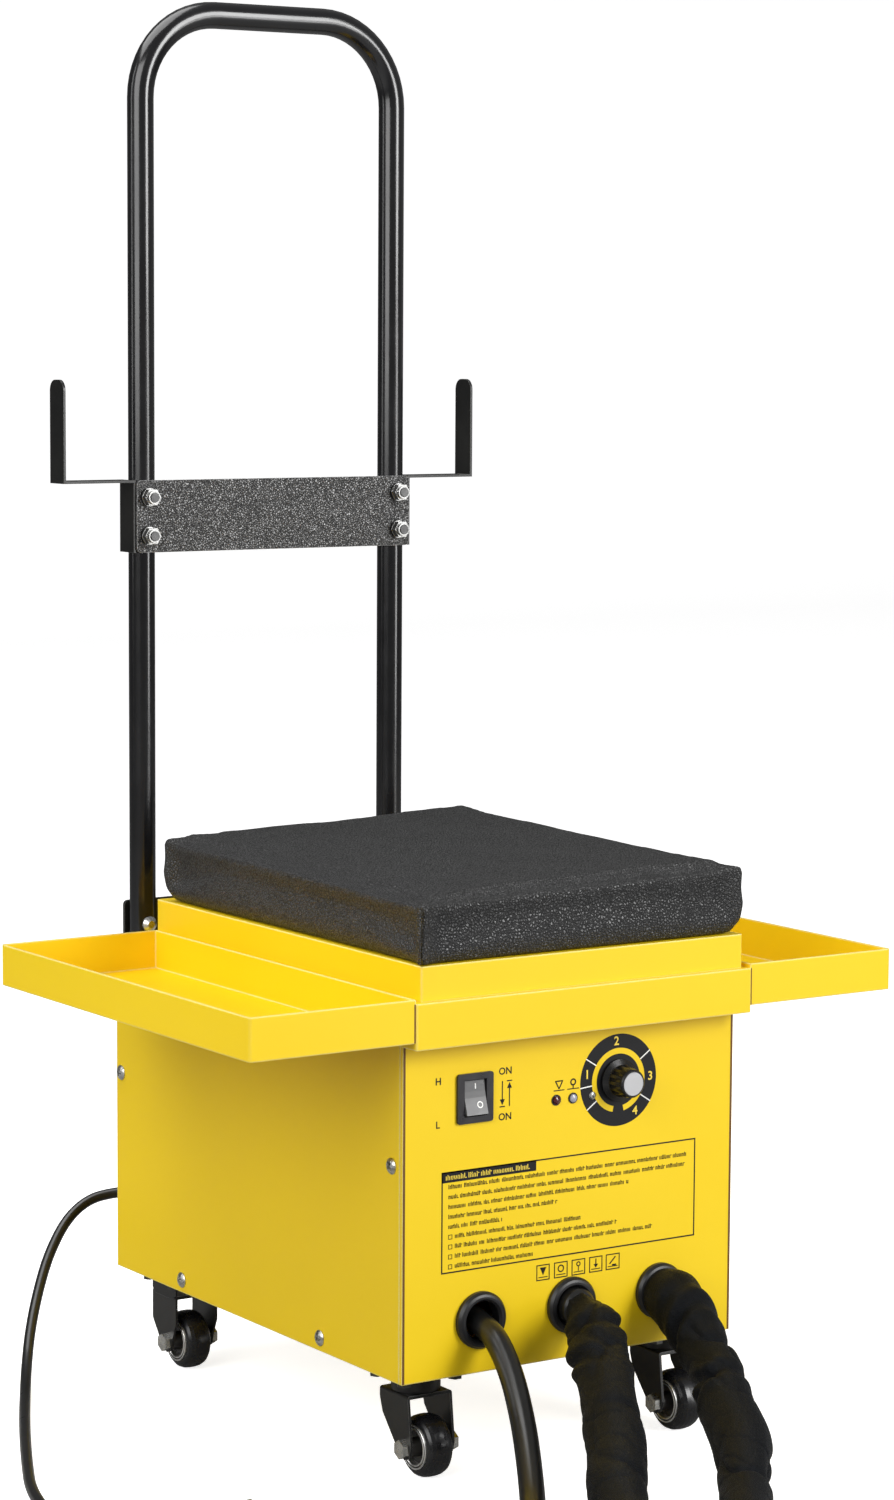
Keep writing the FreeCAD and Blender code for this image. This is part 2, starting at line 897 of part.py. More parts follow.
def quarter_bend(sign, dia):
    item = doc.addObject("Part::Torus", fresh("bend"))
    bind(item, "Radius1", s.handle_bend)
    bind(item, "Radius2", size(dia) / 2)
    item.Angle1 = -180
    item.Angle2 = 180
    item.Angle3 = 90
    turn = FreeCAD.Rotation(Vector(1, 0, 0), 90)
    if sign < 0:
        turn = FreeCAD.Rotation(Vector(0, 1, 0), -90).multiply(turn)
    return put(item, sign * (leg_half - s.handle_bend), leg_y, bend_z, turn)


tube_bore = s.tube_dia - s.tube_wall * 2
grip_x = leg_half - s.handle_bend
grip = minus(
    rod("X", -grip_x, leg_y, top_z, s.tube_dia, grip_x * 2),
    rod("X", -grip_x, leg_y, top_z, tube_bore, grip_x * 2),
)
bends = [minus(quarter_bend(sign, s.tube_dia), quarter_bend(sign, tube_bore)) for sign in (-1, 1)]
tube = plus(hollow_leg(-leg_half), hollow_leg(leg_half), grip, *bends)
hanger_z = [s.hanger_low + s.hanger_bolt_inset, s.hanger_low + s.hanger_high - s.hanger_bolt_inset]
stay_z = s.stay_low + s.stay_high / 2
tube_holes = [
    rod("Y", x, leg_y - s.tube_dia, z, hanger_hole, s.tube_dia * 2)
    for x in (-leg_half, leg_half)
    for z in hanger_z + [stay_z, s.foot_bolt_low, s.foot_bolt_high]
]
name(minus(tube, *tube_holes), "handle_tube")

# Hanger plate across the legs, in front of them.
tube_front = leg_y - s.tube_dia / 2
tube_back = leg_y + s.tube_dia / 2
plate_x = leg_half + s.tube_dia / 2 + s.hanger_over
hanger_top = s.hanger_low + s.hanger_high
body = new_body()
pad(body, "XZ", tube_front - s.hanger_sheet, tube_front, [rect(-plate_x, plate_x, s.hanger_low, hanger_top)])
pocket(
    body,
    "XZ",
    tube_front - s.hanger_sheet - s.overrun,
    tube_front + s.overrun,
    [],
    [(x, z, hanger_hole) for x in (-leg_half, leg_half) for z in hanger_z],
)
fillet(body, s.hanger_corner, lambda e: straight(e, "Y"))
name(body, "hanger_plate")

# Hook brackets: a strip that wraps each leg, turns out at its top and then up.
wrap = plate_x + s.hanger_sheet
hook_x = wrap + s.hook_reach
body = new_body()
strip = [
    (-wrap, s.hanger_low),
    (-wrap, hanger_top - s.hanger_sheet),
    (-hook_x, hanger_top - s.hanger_sheet),
    (-hook_x, hanger_top + s.hook_rise),
    (-hook_x + s.hanger_sheet, hanger_top + s.hook_rise),
    (-hook_x + s.hanger_sheet, hanger_top),
    (-plate_x, hanger_top),
    (-plate_x, s.hanger_low),
]
pad(body, "XZ", tube_front, tube_back + s.hanger_sheet, [strip])
pad(
    body,
    "XZ",
    tube_back,
    tube_back + s.hanger_sheet,
    [rect(-wrap, -wrap + s.hook_back_plate + s.hanger_sheet, s.hanger_low, hanger_top - s.hanger_sheet)],
)
pocket(
    body,
    "XZ",
    tube_back - s.overrun,
    tube_back + s.hanger_sheet + s.overrun,
    [],
    [(-leg_half, z, hanger_hole) for z in hanger_z],
)
fillet(
    body,
    s.hook_round,
    lambda e: straight(e, "X") and e.CenterOfMass.z > (hanger_top + s.hook_rise).value - 0.01,
)
name(group(body, mirrored(body)), "hook_brackets")


def hex_bolt(x, z, head_y, end_y):
    """A bolt along Y with its head at the back."""
    return plus(
        hexagon("Y", x, head_y, z, s.hex_across, s.hex_high),
        rod("Y", x, end_y, z, s.hanger_bolt_dia, head_y - end_y),
    )


def collar_nut(x, z, face_y):
    """A nut with a round collar and a washer, in front of the face that it holds."""
    body_y = face_y - s.washer_high - s.hex_high
    solid = plus(
        rod("Y", x, face_y - s.washer_high, z, s.washer_dia, s.washer_high),
        hexagon("Y", x, body_y, z, s.hex_across, s.hex_high),
        rod("Y", x, body_y - s.nut_collar, z, s.nut_collar_dia, s.nut_collar),
    )
    bore = rod(
        "Y", x, body_y - s.nut_collar - s.overrun, z, hanger_hole, s.nut_collar + s.hex_high + s.washer_high + s.overrun * 2
    )
    return minus(solid, bore)


plate_face = tube_front - s.hanger_sheet
nut_end = plate_face - s.washer_high - s.hex_high - s.nut_collar - s.bolt_end
fasteners = []
for x in (-leg_half, leg_half):
    for z in hanger_z:
        fasteners.append(hex_bolt(x, z, tube_back + s.hanger_sheet, nut_end))
        fasteners.append(collar_nut(x, z, plate_face))
name(group(*fasteners), "hanger_fasteners")

# Stay behind the feet of the handle, above the rear ledge.
body = new_body()
pad(body, "XZ", tube_back, tube_back + s.stay_sheet, [rect(-plate_x, plate_x, s.stay_low, s.stay_low + s.stay_high)])
pocket(
    body,
    "XZ",
    tube_back - s.overrun,
    tube_back + s.stay_sheet + s.overrun,
    [],
    [(x, stay_z, hanger_hole) for x in (-leg_half, leg_half)],
)
fillet(body, s.hanger_corner, lambda e: straight(e, "Y"))
name(body, "handle_stay")


def hex_nut(x, z, y):
    return minus(
        hexagon("Y", x, y, z, s.hex_across, s.hex_high),
        rod("Y", x, y - s.overrun, z, hanger_hole, s.hex_high + s.overrun * 2),
    )


def dome_bolt(x, z):
    """A low round head in front of the leg, a shank through leg and stay."""
    dome = plus(
        rod("Y", x, tube_front - s.dome_high / 3, z, s.dome_dia, s.dome_high / 3),
        taper("Y", x, tube_front - s.dome_high, z, s.dome_dia * 0.5, s.dome_dia, s.dome_high * 2 / 3),
    )
    nut_y = tube_back + s.stay_sheet
    shank = rod("Y", x, tube_front, z, s.hanger_bolt_dia, nut_y + s.hex_high - s.bolt_end / 2 - tube_front)
    return plus(dome, shank), hex_nut(x, z, nut_y)


foot_parts = []
for x in (-leg_half, leg_half):
    foot_parts.extend(dome_bolt(x, stay_z))
    for z in (s.foot_bolt_low, s.foot_bolt_high):
        inner_y = back - s.sheet - s.hex_high
        foot_parts.append(
            plus(
                hexagon("Y", x, tube_back, z, s.hex_across, s.hex_high),
                rod("Y", x, inner_y - s.bolt_end, z, s.hanger_bolt_dia, tube_back - inner_y + s.bolt_end),
            )
        )
        foot_parts.append(hex_nut(x, z, inner_y))
name(group(*foot_parts), "handle_bolts")

# Grommets: rubber rings that grip the front panel.
ring_body = new_body()
g_out = s.grommet_dia / 2
g_neck = s.grommet_hole / 2
g_in = s.grommet_bore / 2
g_front = s.grommet_front
revolve(
    ring_body,
    "YZ",
    [
        (-g_front, g_in + g_front * 0.3),
        (-g_front * 0.7, g_in),
        (s.sheet + s.grommet_rear, g_in),
        (s.sheet + s.grommet_rear, g_out - s.sheet),
        (s.sheet, g_out - s.sheet),
        (s.sheet, g_neck),
        (0, g_neck),
        (0, g_out),
        (-g_front * 0.55, g_out),
        (-g_front * 0.9, g_out - g_front * 0.3),
        (-g_front, g_out - g_front * 0.6),
    ],
    "H_Axis",
)
name(
    group(*[copy_at(ring_body, x, front, s.grommet_z) for x in (-s.grommet_step, size(0), s.grommet_step)]),
    "grommets",
)

# Rocker switch: frame in the panel with its body behind; the rocker is pressed in at its upper end.
body = new_body()
bx0 = -s.rocker_x - s.bezel_width / 2
bx1 = -s.rocker_x + s.bezel_width / 2
bz0 = s.rocker_z - s.bezel_high / 2
bz1 = s.rocker_z + s.bezel_high / 2
pad(body, "XZ", front - s.bezel_front, front, [rect(bx0, bx1, bz0, bz1)])
fillet(body, s.bezel_front, lambda e: straight(e, "Y"))
pad(
    body,
    "XZ",
    front,
    front + s.bezel_body_depth,
    [
        rect(
            window_x0 + s.bolt_play,
            window_x1 - s.bolt_play,
            window_z0 + s.bolt_play,
            window_z1 - s.bolt_play,
        )
    ],
)
rock_x0 = -s.rocker_x - s.rocker_width / 2
rock_x1 = -s.rocker_x + s.rocker_width / 2
rock_z0 = s.rocker_z - s.rocker_high / 2
rock_z1 = s.rocker_z + s.rocker_high / 2
well_deep = s.rocker_deep + s.rocker_play * 4
pocket(
    body,
    "XZ",
    front - s.bezel_front - s.overrun,
    front - s.bezel_front + well_deep,
    [rect(rock_x0 - s.rocker_play, rock_x1 + s.rocker_play, rock_z0 - s.rocker_play, rock_z1 + s.rocker_play)],
)
name(body, "rocker_bezel")
body = new_body()
rock_half = s.rocker_high / 2 - s.rocker_play
rock_in = s.rocker_deep * 0.45 - s.rocker_pin_in
rock_out = s.rocker_pin_in + s.rocker_nose * 0.12
pad(
    body,
    "YZ",
    -s.rocker_width / 2,
    s.rocker_width / 2,
    [
        [
            (-rock_out, -rock_half),
            (s.rocker_deep * 0.25 - s.rocker_pin_in, -rock_half),
            (rock_in, -s.rocker_high / 4),
            (rock_in, s.rocker_high / 4),
            (s.rocker_deep * 0.25 - s.rocker_pin_in, rock_half),
            (-rock_out, rock_half),
            (s.rocker_dip * 0.35 - s.rocker_pin_in, s.rocker_high * 0.18),
            (s.rocker_dip * 0.6 - s.rocker_pin_in, 0),
            (s.rocker_dip * 0.35 - s.rocker_pin_in, -s.rocker_high * 0.18),
        ]
    ],
)
put(
    body,
    -s.rocker_x,
    front - s.bezel_front + s.rocker_pin_in,
    s.rocker_z,
    FreeCAD.Rotation(Vector(1, 0, 0), -ROCKER_LEAN),
)
name(body, "rocker")

# Knob: fluted, with a skirt; bored from behind for its shaft.
knob_face = front - s.knob_front
knob_back = front - s.knob_stand
knob_long = s.knob_front - s.knob_stand
body = new_body()
k_skirt = s.knob_skirt_dia / 2
k_base = s.knob_base_dia / 2
k_top = s.knob_top_dia / 2
k_cap = s.knob_cap_dia / 2
k_bore = s.shaft_dia / 2 + s.shaft_play
revolve(
    body,
    "YZ",
    [
        (-s.shaft_in_knob, 0),
        (-s.shaft_in_knob, k_bore),
        (0, k_bore),
        (0, k_skirt),
        (-s.knob_skirt * 0.4, k_skirt),
        (-s.knob_skirt, k_skirt - s.knob_skirt),
        (-s.knob_skirt * 1.2, k_base),
        (-knob_long + s.knob_cap, k_top),
        (-knob_long + s.knob_cap * 0.3, k_top - s.knob_cap * 0.7),
        (-knob_long + s.knob_cap * 0.3, k_cap + s.shaft_play),
        (-knob_long + s.knob_cap, k_cap + s.shaft_play),
        (-knob_long + s.knob_cap, 0),
    ],
    "H_Axis",
)
doc.recompute()
cutter = sketch(body, "XZ", -knob_long - s.overrun)
ring(cutter, 0, k_base + s.flute_dia * 0.12, s.flute_dia)
flute = body.newObject("PartDesign::Pocket", fresh("flute"))
flute.Profile = cutter
bind(flute, "Length", knob_long + s.overrun - s.knob_skirt * 1.5)
flute.Reversed = False
doc.recompute()
flutes = body.newObject("PartDesign::PolarPattern", fresh("flutes"))
flutes.Originals = [flute]
flutes.Axis = ([o for o in body.Origin.OriginFeatures if o.Role == "Y_Axis"][0], [""])
flutes.Angle = 360
flutes.Occurrences = 14
body.Tip = flutes
doc.recompute()
put(body, s.knob_x, knob_back, s.knob_z)
name(body, "knob")
name(
    rod("Y", s.knob_x, knob_face, s.knob_z, s.knob_cap_dia, s.knob_cap),
    "knob_cap",
)
pot_y = front + s.sheet
name(
    rod(
        "Y",
        s.knob_x,
        knob_back - s.shaft_in_knob + s.shaft_play,
        s.knob_z,
        s.shaft_dia,
        pot_y + s.pot_deep / 2 - knob_back + s.shaft_in_knob - s.shaft_play,
    ),
    "knob_shaft",
)
name(
    minus(
        plus(
            rod("Y", s.knob_x, front - s.bush_front, s.knob_z, s.bush_dia, s.bush_front + s.sheet),
            rod("Y", s.knob_x, pot_y, s.knob_z, s.pot_dia, s.pot_deep),
        ),
        rod(
            "Y",
            s.knob_x,
            front - s.overrun,
            s.knob_z,
            s.shaft_dia + s.shaft_play * 2,
            s.overrun + s.sheet + s.pot_deep / 2 + s.shaft_play,
        ),
    ),
    "potentiometer",
)


def lamp(x):
    """A small domed lamp with a rim in front of the panel."""
    return plus(
        rod("Y", x, front - s.lamp_front * 0.4, s.lamp_z, s.lamp_rim_dia, s.lamp_front * 0.4),
        taper("Y", x, front - s.lamp_front, s.lamp_z, s.lamp_dia * 0.55, s.lamp_dia, s.lamp_front * 0.6),
        rod("Y", x, front, s.lamp_z, s.lamp_dia, s.lamp_body),
    )


name(group(lamp(-s.lamp_red_x), lamp(s.lamp_clear_x)), "indicator_lamps")

# Transformer: stacked core with two windows, a winding on the middle leg and copper bars.
base_top = low + s.base_sheet
core_z0 = base_top + s.core_foot
core_z1 = core_z0 + s.core_high
core_x = s.core_width / 2
core_y0 = front + s.core_y - s.core_stack / 2
core_y1 = core_y0 + s.core_stack
win_x0 = s.core_leg
win_x1 = core_x - s.core_leg
body = new_body()
windows = [
    rect(-win_x1, -win_x0, core_z0 + s.core_leg, core_z1 - s.core_leg),
    rect(win_x0, win_x1, core_z0 + s.core_leg, core_z1 - s.core_leg),
]
pad(body, "XZ", core_y0, core_y1, [rect(-core_x, core_x, core_z0, core_z1)])
pocket(body, "XZ", core_y0 - s.overrun, core_y1 + s.overrun, windows)
for x0, x1 in ((-core_x, -core_x + s.core_leg), (core_x - s.core_leg, core_x)):
    pad(body, "XY", base_top, core_z0, [rect(x0, x1, core_y0 - s.core_leg, core_y1 + s.core_leg)])
name(body, "transformer_core")
body = new_body()
wind_z0 = core_z0 + s.core_leg + s.winding_gap
wind_z1 = core_z1 - s.core_leg - s.winding_gap
pad(
    body,
    "XY",
    wind_z0,
    wind_z1,
    [
        rect(-win_x1 + s.winding_gap, win_x1 - s.winding_gap, core_y0 - s.winding_out, core_y1 + s.winding_out),
        rect(-win_x0 - s.winding_gap, win_x0 + s.winding_gap, core_y0 - s.winding_gap, core_y1 + s.winding_gap),
    ],
)
fillet(body, s.core_leg / 3, lambda e: straight(e, "Z") and abs(e.CenterOfMass.x) > win_x0.value * 1.2)
name(body, "transformer_winding")

# Copper bars: one across behind the grommets with a socket for each cable, one up to the winding.
lug_y0 = front + s.lug_depth
lug_y1 = lug_y0 + s.lug_long
bar_y1 = lug_y1 + s.bar_thick
bars = [
    block(
        -s.grommet_step - s.lug_dia / 2,
        s.grommet_step + s.lug_dia / 2,
        lug_y1,
        bar_y1,
        s.grommet_z - s.bar_high / 2,
        s.grommet_z + s.bar_high / 2,
    ),
    block(
        -s.bar_high / 2,
        s.bar_high / 2,
        lug_y1,
        core_y0 - s.winding_out,
        s.grommet_z + s.bar_high / 2 - s.bar_thick,
        s.grommet_z + s.bar_high / 2,
    ),
]
for x in (-s.grommet_step, size(0), s.grommet_step):
    bars.append(rod("Y", x, lug_y0, s.grommet_z, s.lug_dia, s.lug_long))
name(plus(*bars), "copper_bars")

# Control board on posts inside the right side, and the power module on its ribbed sink.
wall = half - s.sheet * 2
board_x1 = wall - s.post_long
board_x0 = board_x1 - s.board_thick
cy0 = front + s.board_y
cz0 = base_top + s.base_flange + s.post_dia
board_parts = [block(board_x0, board_x1, cy0, cy0 + s.board_long, cz0, cz0 + s.board_tall)]
for j in (0, 1):
    for k in (0, 1):
        board_parts.append(
            rod(
                "X",
                board_x1,
                cy0 + s.post_dia + j * (s.board_long - s.post_dia * 2),
                cz0 + s.post_dia + k * (s.board_tall - s.post_dia * 2),
                s.post_dia,
                s.post_long + s.sheet,
            )
        )
for j in range(3):
    y = cy0 + s.post_dia * 2 + j * (s.relay_wide + s.post_dia)
    board_parts.append(
        block(board_x0 - s.relay_deep, board_x0, y, y + s.relay_wide, cz0 + s.post_dia * 2, cz0 + s.board_tall * 0.45)
    )
name(plus(*board_parts), "control_board")
sink_y = back - s.sink_inset
sink_y0 = sink_y - s.sink_deep / 2
sink_y1 = sink_y0 + s.sink_deep
body = new_body()
sink_half = s.sink_width / 2
pad(body, "XY", base_top, base_top + s.sink_base, [rect(-sink_half, sink_half, sink_y0, sink_y1)])
for i in range(9):
    x0 = -sink_half + i * (s.sink_width - s.sink_fin) / 8
    if abs(x0.value + s.sink_fin.value / 2) < s.module_width.value / 2 + s.sink_fin.value:
        continue
    pad(
        body,
        "XY",
        base_top + s.sink_base,
        base_top + s.sink_base + s.sink_fin_high,
        [rect(x0, x0 + s.sink_fin, sink_y0, sink_y1)],
    )
module_z = base_top + s.sink_base
pad(
    body,
    "XY",
    module_z,
    module_z + s.module_high,
    [
        rect(
            -s.module_width / 2,
            s.module_width / 2,
            sink_y - s.module_long / 2,
            sink_y + s.module_long / 2,
        )
    ],
)
name(body, "power_module")

# Casters. The wheel turns on a bushed hub; rims and tyres are turned pieces.
tyre_body = new_body()
w_out = s.wheel_dia / 2
w_in = s.rim_dia / 2
t_half = s.tyre_width / 2
t_round = s.tyre_round
tyre_side = [
    (-t_half, w_in),
    (-t_half, w_out - t_round),
    (-t_half + t_round * 0.12, w_out - t_round * 0.6),
    (-t_half + t_round * 0.4, w_out - t_round * 0.28),
    (-t_half + t_round * 0.9, w_out - t_round * 0.07),
    (-t_half + t_round * 1.5, w_out),
]
revolve(tyre_body, "XZ", tyre_side + [(-u, w) for u, w in reversed(tyre_side)], "H_Axis")
rim_body = new_body()
h_half = s.hub_long / 2
h_out = s.hub_dia / 2
h_in = s.axle_dia / 2 + s.axle_play
lip_x = t_half + s.rim_proud
lip_out = w_in - s.rim_lip
lip_in = lip_out - s.rim_groove
dish_out = lip_in - s.rim_lip
rim_side = [
    (-h_half, h_in),
    (-h_half, h_out),
    (-lip_x + s.rim_dish, h_out),
    (-lip_x + s.rim_dish, dish_out - s.rim_lip * 0.5),
    (-lip_x + s.rim_lip * 0.3, dish_out),
    (-lip_x, dish_out + s.rim_lip * 0.4),
    (-lip_x + s.rim_lip * 0.2, lip_in),
    (-lip_x + s.rim_groove, lip_in + s.rim_groove * 0.3),
    (-lip_x + s.rim_groove, lip_out - s.rim_groove * 0.3),
    (-lip_x + s.rim_lip * 0.2, lip_out),
    (-lip_x, lip_out + s.rim_lip * 0.6),
    (-lip_x + s.rim_lip * 0.3, w_in),
]
revolve(rim_body, "XZ", rim_side + [(-u, w) for u, w in reversed(rim_side)], "H_Axis")
doc.recompute()
axle_z = s.wheel_dia / 2
fork_in = h_half + s.hub_gap
fork_out = fork_in + s.fork_sheet
crown_z1 = low - s.crown_drop
crown_z0 = crown_z1 - s.fork_crown_sheet


around = s.fork_end_round
leg_top = s.fork_crown_long / 2


def leg_foot(trail):
    """The round lower end of a fork's leg, from its front to its back, about the axle."""
    return [
        (-trail - around * 0.97, axle_z + around * 0.25),
        (-trail - around * 0.7, axle_z - around * 0.7),
        (-trail, axle_z - around),
        (-trail + around * 0.74, axle_z - around * 0.67),
    ]


swivel_legs = [
    (-leg_top, crown_z1),
    *leg_foot(s.caster_trail),
    (leg_top * 0.79, axle_z + s.swivel_hip * 0.77),
    (leg_top * 0.91, axle_z + s.swivel_hip),
    (leg_top, axle_z + s.swivel_hip * 1.2),
    (leg_top, crown_z1),
]
rigid_legs = [
    (-leg_top, crown_z1),
    (-leg_top, axle_z + s.rigid_hip * 1.2),
    (-leg_top * 0.92, axle_z + s.rigid_hip),
    *leg_foot(s.rear_trail),
    (leg_top * 0.92, axle_z + s.rigid_hip),
    (leg_top, axle_z + s.rigid_hip * 1.2),
    (leg_top, crown_z1),
]


def fork(legs, trail, top_z):
    """A pressed fork round its own vertical axis: two legs under a crown, bored for the axle."""
    item = new_body()
    pad(item, "YZ", -fork_out, fork_out, [legs])
    pocket(
        item,
        "YZ",
        -fork_in,
        fork_in,
        [rect(-s.wheel_dia, s.wheel_dia, -s.overrun, top_z - s.fork_crown_sheet)],
    )
    fillet(
        item,
        s.fork_sheet,
        lambda e: straight(e, "Y") and abs(abs(e.CenterOfMass.x) - fork_out.value) < 0.01 and e.CenterOfMass.z > top_z.value - 0.01,
    )
    pocket(
        item,
        "YZ",
        -fork_out - s.overrun,
        fork_out + s.overrun,
        [],
        [(-size(trail), axle_z, s.axle_dia + s.axle_play * 2)],
    )
    return item


def caster_axle():
    """A bolt through fork and hub: a head on the left, a nut on the right."""
    return plus(
        hexagon("X", -fork_out - s.axle_head, 0, 0, s.axle_hex, s.axle_head),
        rod("X", -fork_out, 0, 0, s.axle_dia, fork_out * 2 + s.axle_head + s.bolt_end),
        hexagon("X", fork_out, 0, 0, s.axle_hex, s.axle_head),
    )


def mount_plate(x, y, z0):
    item = new_body()
    pad(
        item,
        "XY",
        z0,
        z0 + s.plate_sheet,
        [rect(-s.plate_long / 2, s.plate_long / 2, -s.plate_width / 2, s.plate_width / 2)],
        [
            (i * s.caster_bolt_x, j * s.caster_bolt_y, bolt_hole)
            for i in (-1, 1)
            for j in (-1, 1)
        ],
    )
    fillet(item, s.plate_corner, lambda e: straight(e, "Z"))
    return item


plate_z0 = low - s.plate_sheet
mount_body = mount_plate(0, 0, plate_z0)
race = rod("Z", 0, 0, crown_z1 + s.race_gap, s.race_dia, plate_z0 - crown_z1 - s.race_gap)
king = plus(
    rod("Z", 0, 0, crown_z0 - s.race_gap - s.king_head, s.king_head_dia, s.king_head),
    rod("Z", 0, 0, crown_z0 - s.race_gap, s.king_dia, plate_z0 - crown_z0 + s.race_gap),
)
swivel_mount = plus(mount_body, race, king)
name(
    group(copy_at(swivel_mount, -caster_x, front_y), copy_at(swivel_mount, caster_x, front_y)),
    "front_caster_mounts",
)
swivel_fork = fork(swivel_legs, s.caster_trail, crown_z1)
pocket(
    swivel_fork,
    "XY",
    crown_z0 - s.overrun,
    crown_z1 + s.overrun,
    [],
    [(0, 0, s.king_dia + s.axle_play * 2)],
)
name(copy_at(swivel_fork, -caster_x, front_y), "front_left_fork")
name(copy_at(swivel_fork, caster_x, front_y), "front_right_fork")
rigid_fork = fork(rigid_legs, s.rear_trail, crown_z1)
rigid_plate = mount_plate(0, 0, plate_z0)
rigid_neck = block(
    -fork_out + s.fork_sheet,
    fork_out - s.fork_sheet,
    -s.fork_crown_long / 2 + s.fork_sheet * 4.5,
    s.fork_crown_long / 2 - s.fork_sheet * 4.5,
    crown_z0,
    plate_z0 + s.plate_sheet / 2,
)
neck_space = block(
    -fork_out + s.fork_sheet * 2.5,
    fork_out - s.fork_sheet * 2.5,
    -s.fork_crown_long,
    s.fork_crown_long,
    crown_z1,
    plate_z0,
)
rigid = plus(rigid_fork, minus(rigid_neck, neck_space), rigid_plate)
name(
    group(copy_at(rigid, -caster_x, rear_y), copy_at(rigid, caster_x, rear_y)),
    "rear_caster_brackets",
)
wheel_front = front_y - s.caster_trail
wheel_rear = rear_y - s.rear_trail
wheels = {
    "front_left": (-caster_x, wheel_front),
    "front_right": (caster_x, wheel_front),
    "rear_left": (-caster_x, wheel_rear),
    "rear_right": (caster_x, wheel_rear),
}
for place, (x, y) in wheels.items():
    name(copy_at(tyre_body, x, y, axle_z), place + "_tyre")
    name(copy_at(rim_body, x, y, axle_z), place + "_rim")
axle = caster_axle()
name(copy_at(axle, *wheels["front_left"], axle_z), "front_left_axle")
name(copy_at(axle, *wheels["front_right"], axle_z), "front_right_axle")
name(
    group(copy_at(axle, *wheels["rear_left"], axle_z), copy_at(axle, *wheels["rear_right"], axle_z)),
    "rear_axles",
)
mount_bolts = []
for x, y in bolt_spots:
    head = s.caster_bolt_head_high
    mount_bolts.append(
        plus(
            hexagon("Z", x, y, plate_z0 - head, s.caster_bolt_head, head),
            rod("Z", x, y, plate_z0, s.caster_bolt_dia, s.plate_sheet + s.base_sheet),
            hexagon("Z", x, y, base_top, s.caster_bolt_head, head),
        )
    )
name(group(*mount_bolts), "caster_bolts")

# Cord gland on the rear panel.
gland = plus(
    hexagon("Y", -gland_x, back, s.gland_z, s.gland_dia, s.gland_long * 0.5),
    rod("Y", -gland_x, back + s.gland_long * 0.5, s.gland_z, s.gland_dia * 0.92, s.gland_long * 0.5),
    taper("Y", -gland_x, back + s.gland_long, s.gland_z, s.gland_dia * 0.92, s.gland_thread_dia * 0.8, s.gland_dome),
    rod("Y", -gland_x, back - s.sheet, s.gland_z, s.gland_thread_dia, s.sheet),
    hexagon("Y", -gland_x, back - s.sheet - s.gland_nut, s.gland_z, s.gland_dia, s.gland_nut),
)
gland_bore = rod(
    "Y",
    -gland_x,
    back - s.sheet - s.gland_nut - s.overrun,
    s.gland_z,
    s.mains_dia + s.bolt_play * 2,
    s.overrun * 2 + s.gland_nut + s.sheet + s.gland_long + s.gland_dome,
)
name(minus(gland, gland_bore), "cord_gland")

# Cords. Their points were chosen from the places that each cord passes, so they stay as chosen.
FRONT = front.value
LEFT = -half.value
LOW = low.value


def seat_points(points):
    """Points measured from the cabinet's lower front left corner."""
    return [Vector(LEFT + x, FRONT + y, LOW + z) for x, y, z in points]


def cord_path(points, label):
    """Straight runs joined by tangent arcs, each as large as its two runs allow."""
    edges = []
    at = points[0]
    radii = []
    for i in range(1, len(points) - 1):
        a = points[i - 1] - points[i]
        b = points[i + 1] - points[i]
        shorter = min(a.Length, b.Length)
        turn = math.pi - a.getAngle(b)
        cut = 0.45 * shorter
        radii.append(cut / math.tan(turn / 2))
        a.normalize()
        b.normalize()
        start = points[i] + a * cut
        end = points[i] + b * cut
        inward = (a + b).normalize()
        radius = radii[-1]
        centre = points[i] + inward * (radius / math.cos(turn / 2))
        middle = centre - inward * radius
        edges.append(Part.LineSegment(at, start).toShape())
        edges.append(Part.Arc(start, middle, end).toShape())
        at = end
    edges.append(Part.LineSegment(at, points[-1]).toShape())
    wire = Part.Wire(edges)
    print(label, "length %.0f" % wire.Length, "radii", " ".join("%.0f" % r for r in radii))
    return wire


def tube_along(wire, start, way, dia, label):
    """A round solid along a path, its volume compared with section times length."""
    circle = Part.Wire([Part.Circle(start, way, dia / 2).toShape()])
    solid = wire.makePipeShell([circle], True, False)
    if solid.Volume < 0:
        solid.reverse()
    want = math.pi * dia * dia / 4 * wire.Length
    if abs(solid.Volume / want - 1) > 0.02:
        raise SystemExit("%s has %.0f of %.0f" % (label, solid.Volume, want))
    return solid


def cord(label, points, dia, extra=None):
    line = cord_path(points, label)
    solid = tube_along(line, points[0], points[1] - points[0], dia, label)
    if extra is not None:
        solid = solid.fuse(extra)
    item = doc.addObject("Part::Feature", fresh("cord"))
    item.Shape = solid
    name(item, label)
    return line


earth_r = s.earth_dia.value / 2
hose_r = s.hose_dia.value / 2
mains_r = s.mains_dia.value / 2

# Route points of the four cords, from the cabinet's lower front left corner.
EARTH = [
    (70, 34, 41),
    (70, -10, 41),
    (69, -42, 15),
    (58, -76, -17),
    (42, -108, -42),
    (22, -142, -62),
    (-8, -184, -70.5),
    (-54, -232, -70.5),
    (-124, -268, -70.5),
    (-208, -270, -70.5),
    (-284, -232, -70.5),
    (-336, -165, -70.5),
    (-352, -82, -70.5),
    (-346, 5, -69),
    (-338, 92, -69),
]
HOSE_A = [
    (153, -20, 38),
    (147, -40, 30),
    (133, -66, 21),
    (116, -100, 5),
    (96, -138, -17),
    (71, -176, -38),
    (43, -220, -56),
    (10, -268, -60),
    (-48, -330, -60),
    (-136, -372, -60),
    (-238, -376, -60),
    (-334, -340, -60),
    (-406, -268, -60),
    (-440, -174, -60),
    (-446, -72, -60),
    (-436, 30, -60),
    (-420, 132, -60),
]
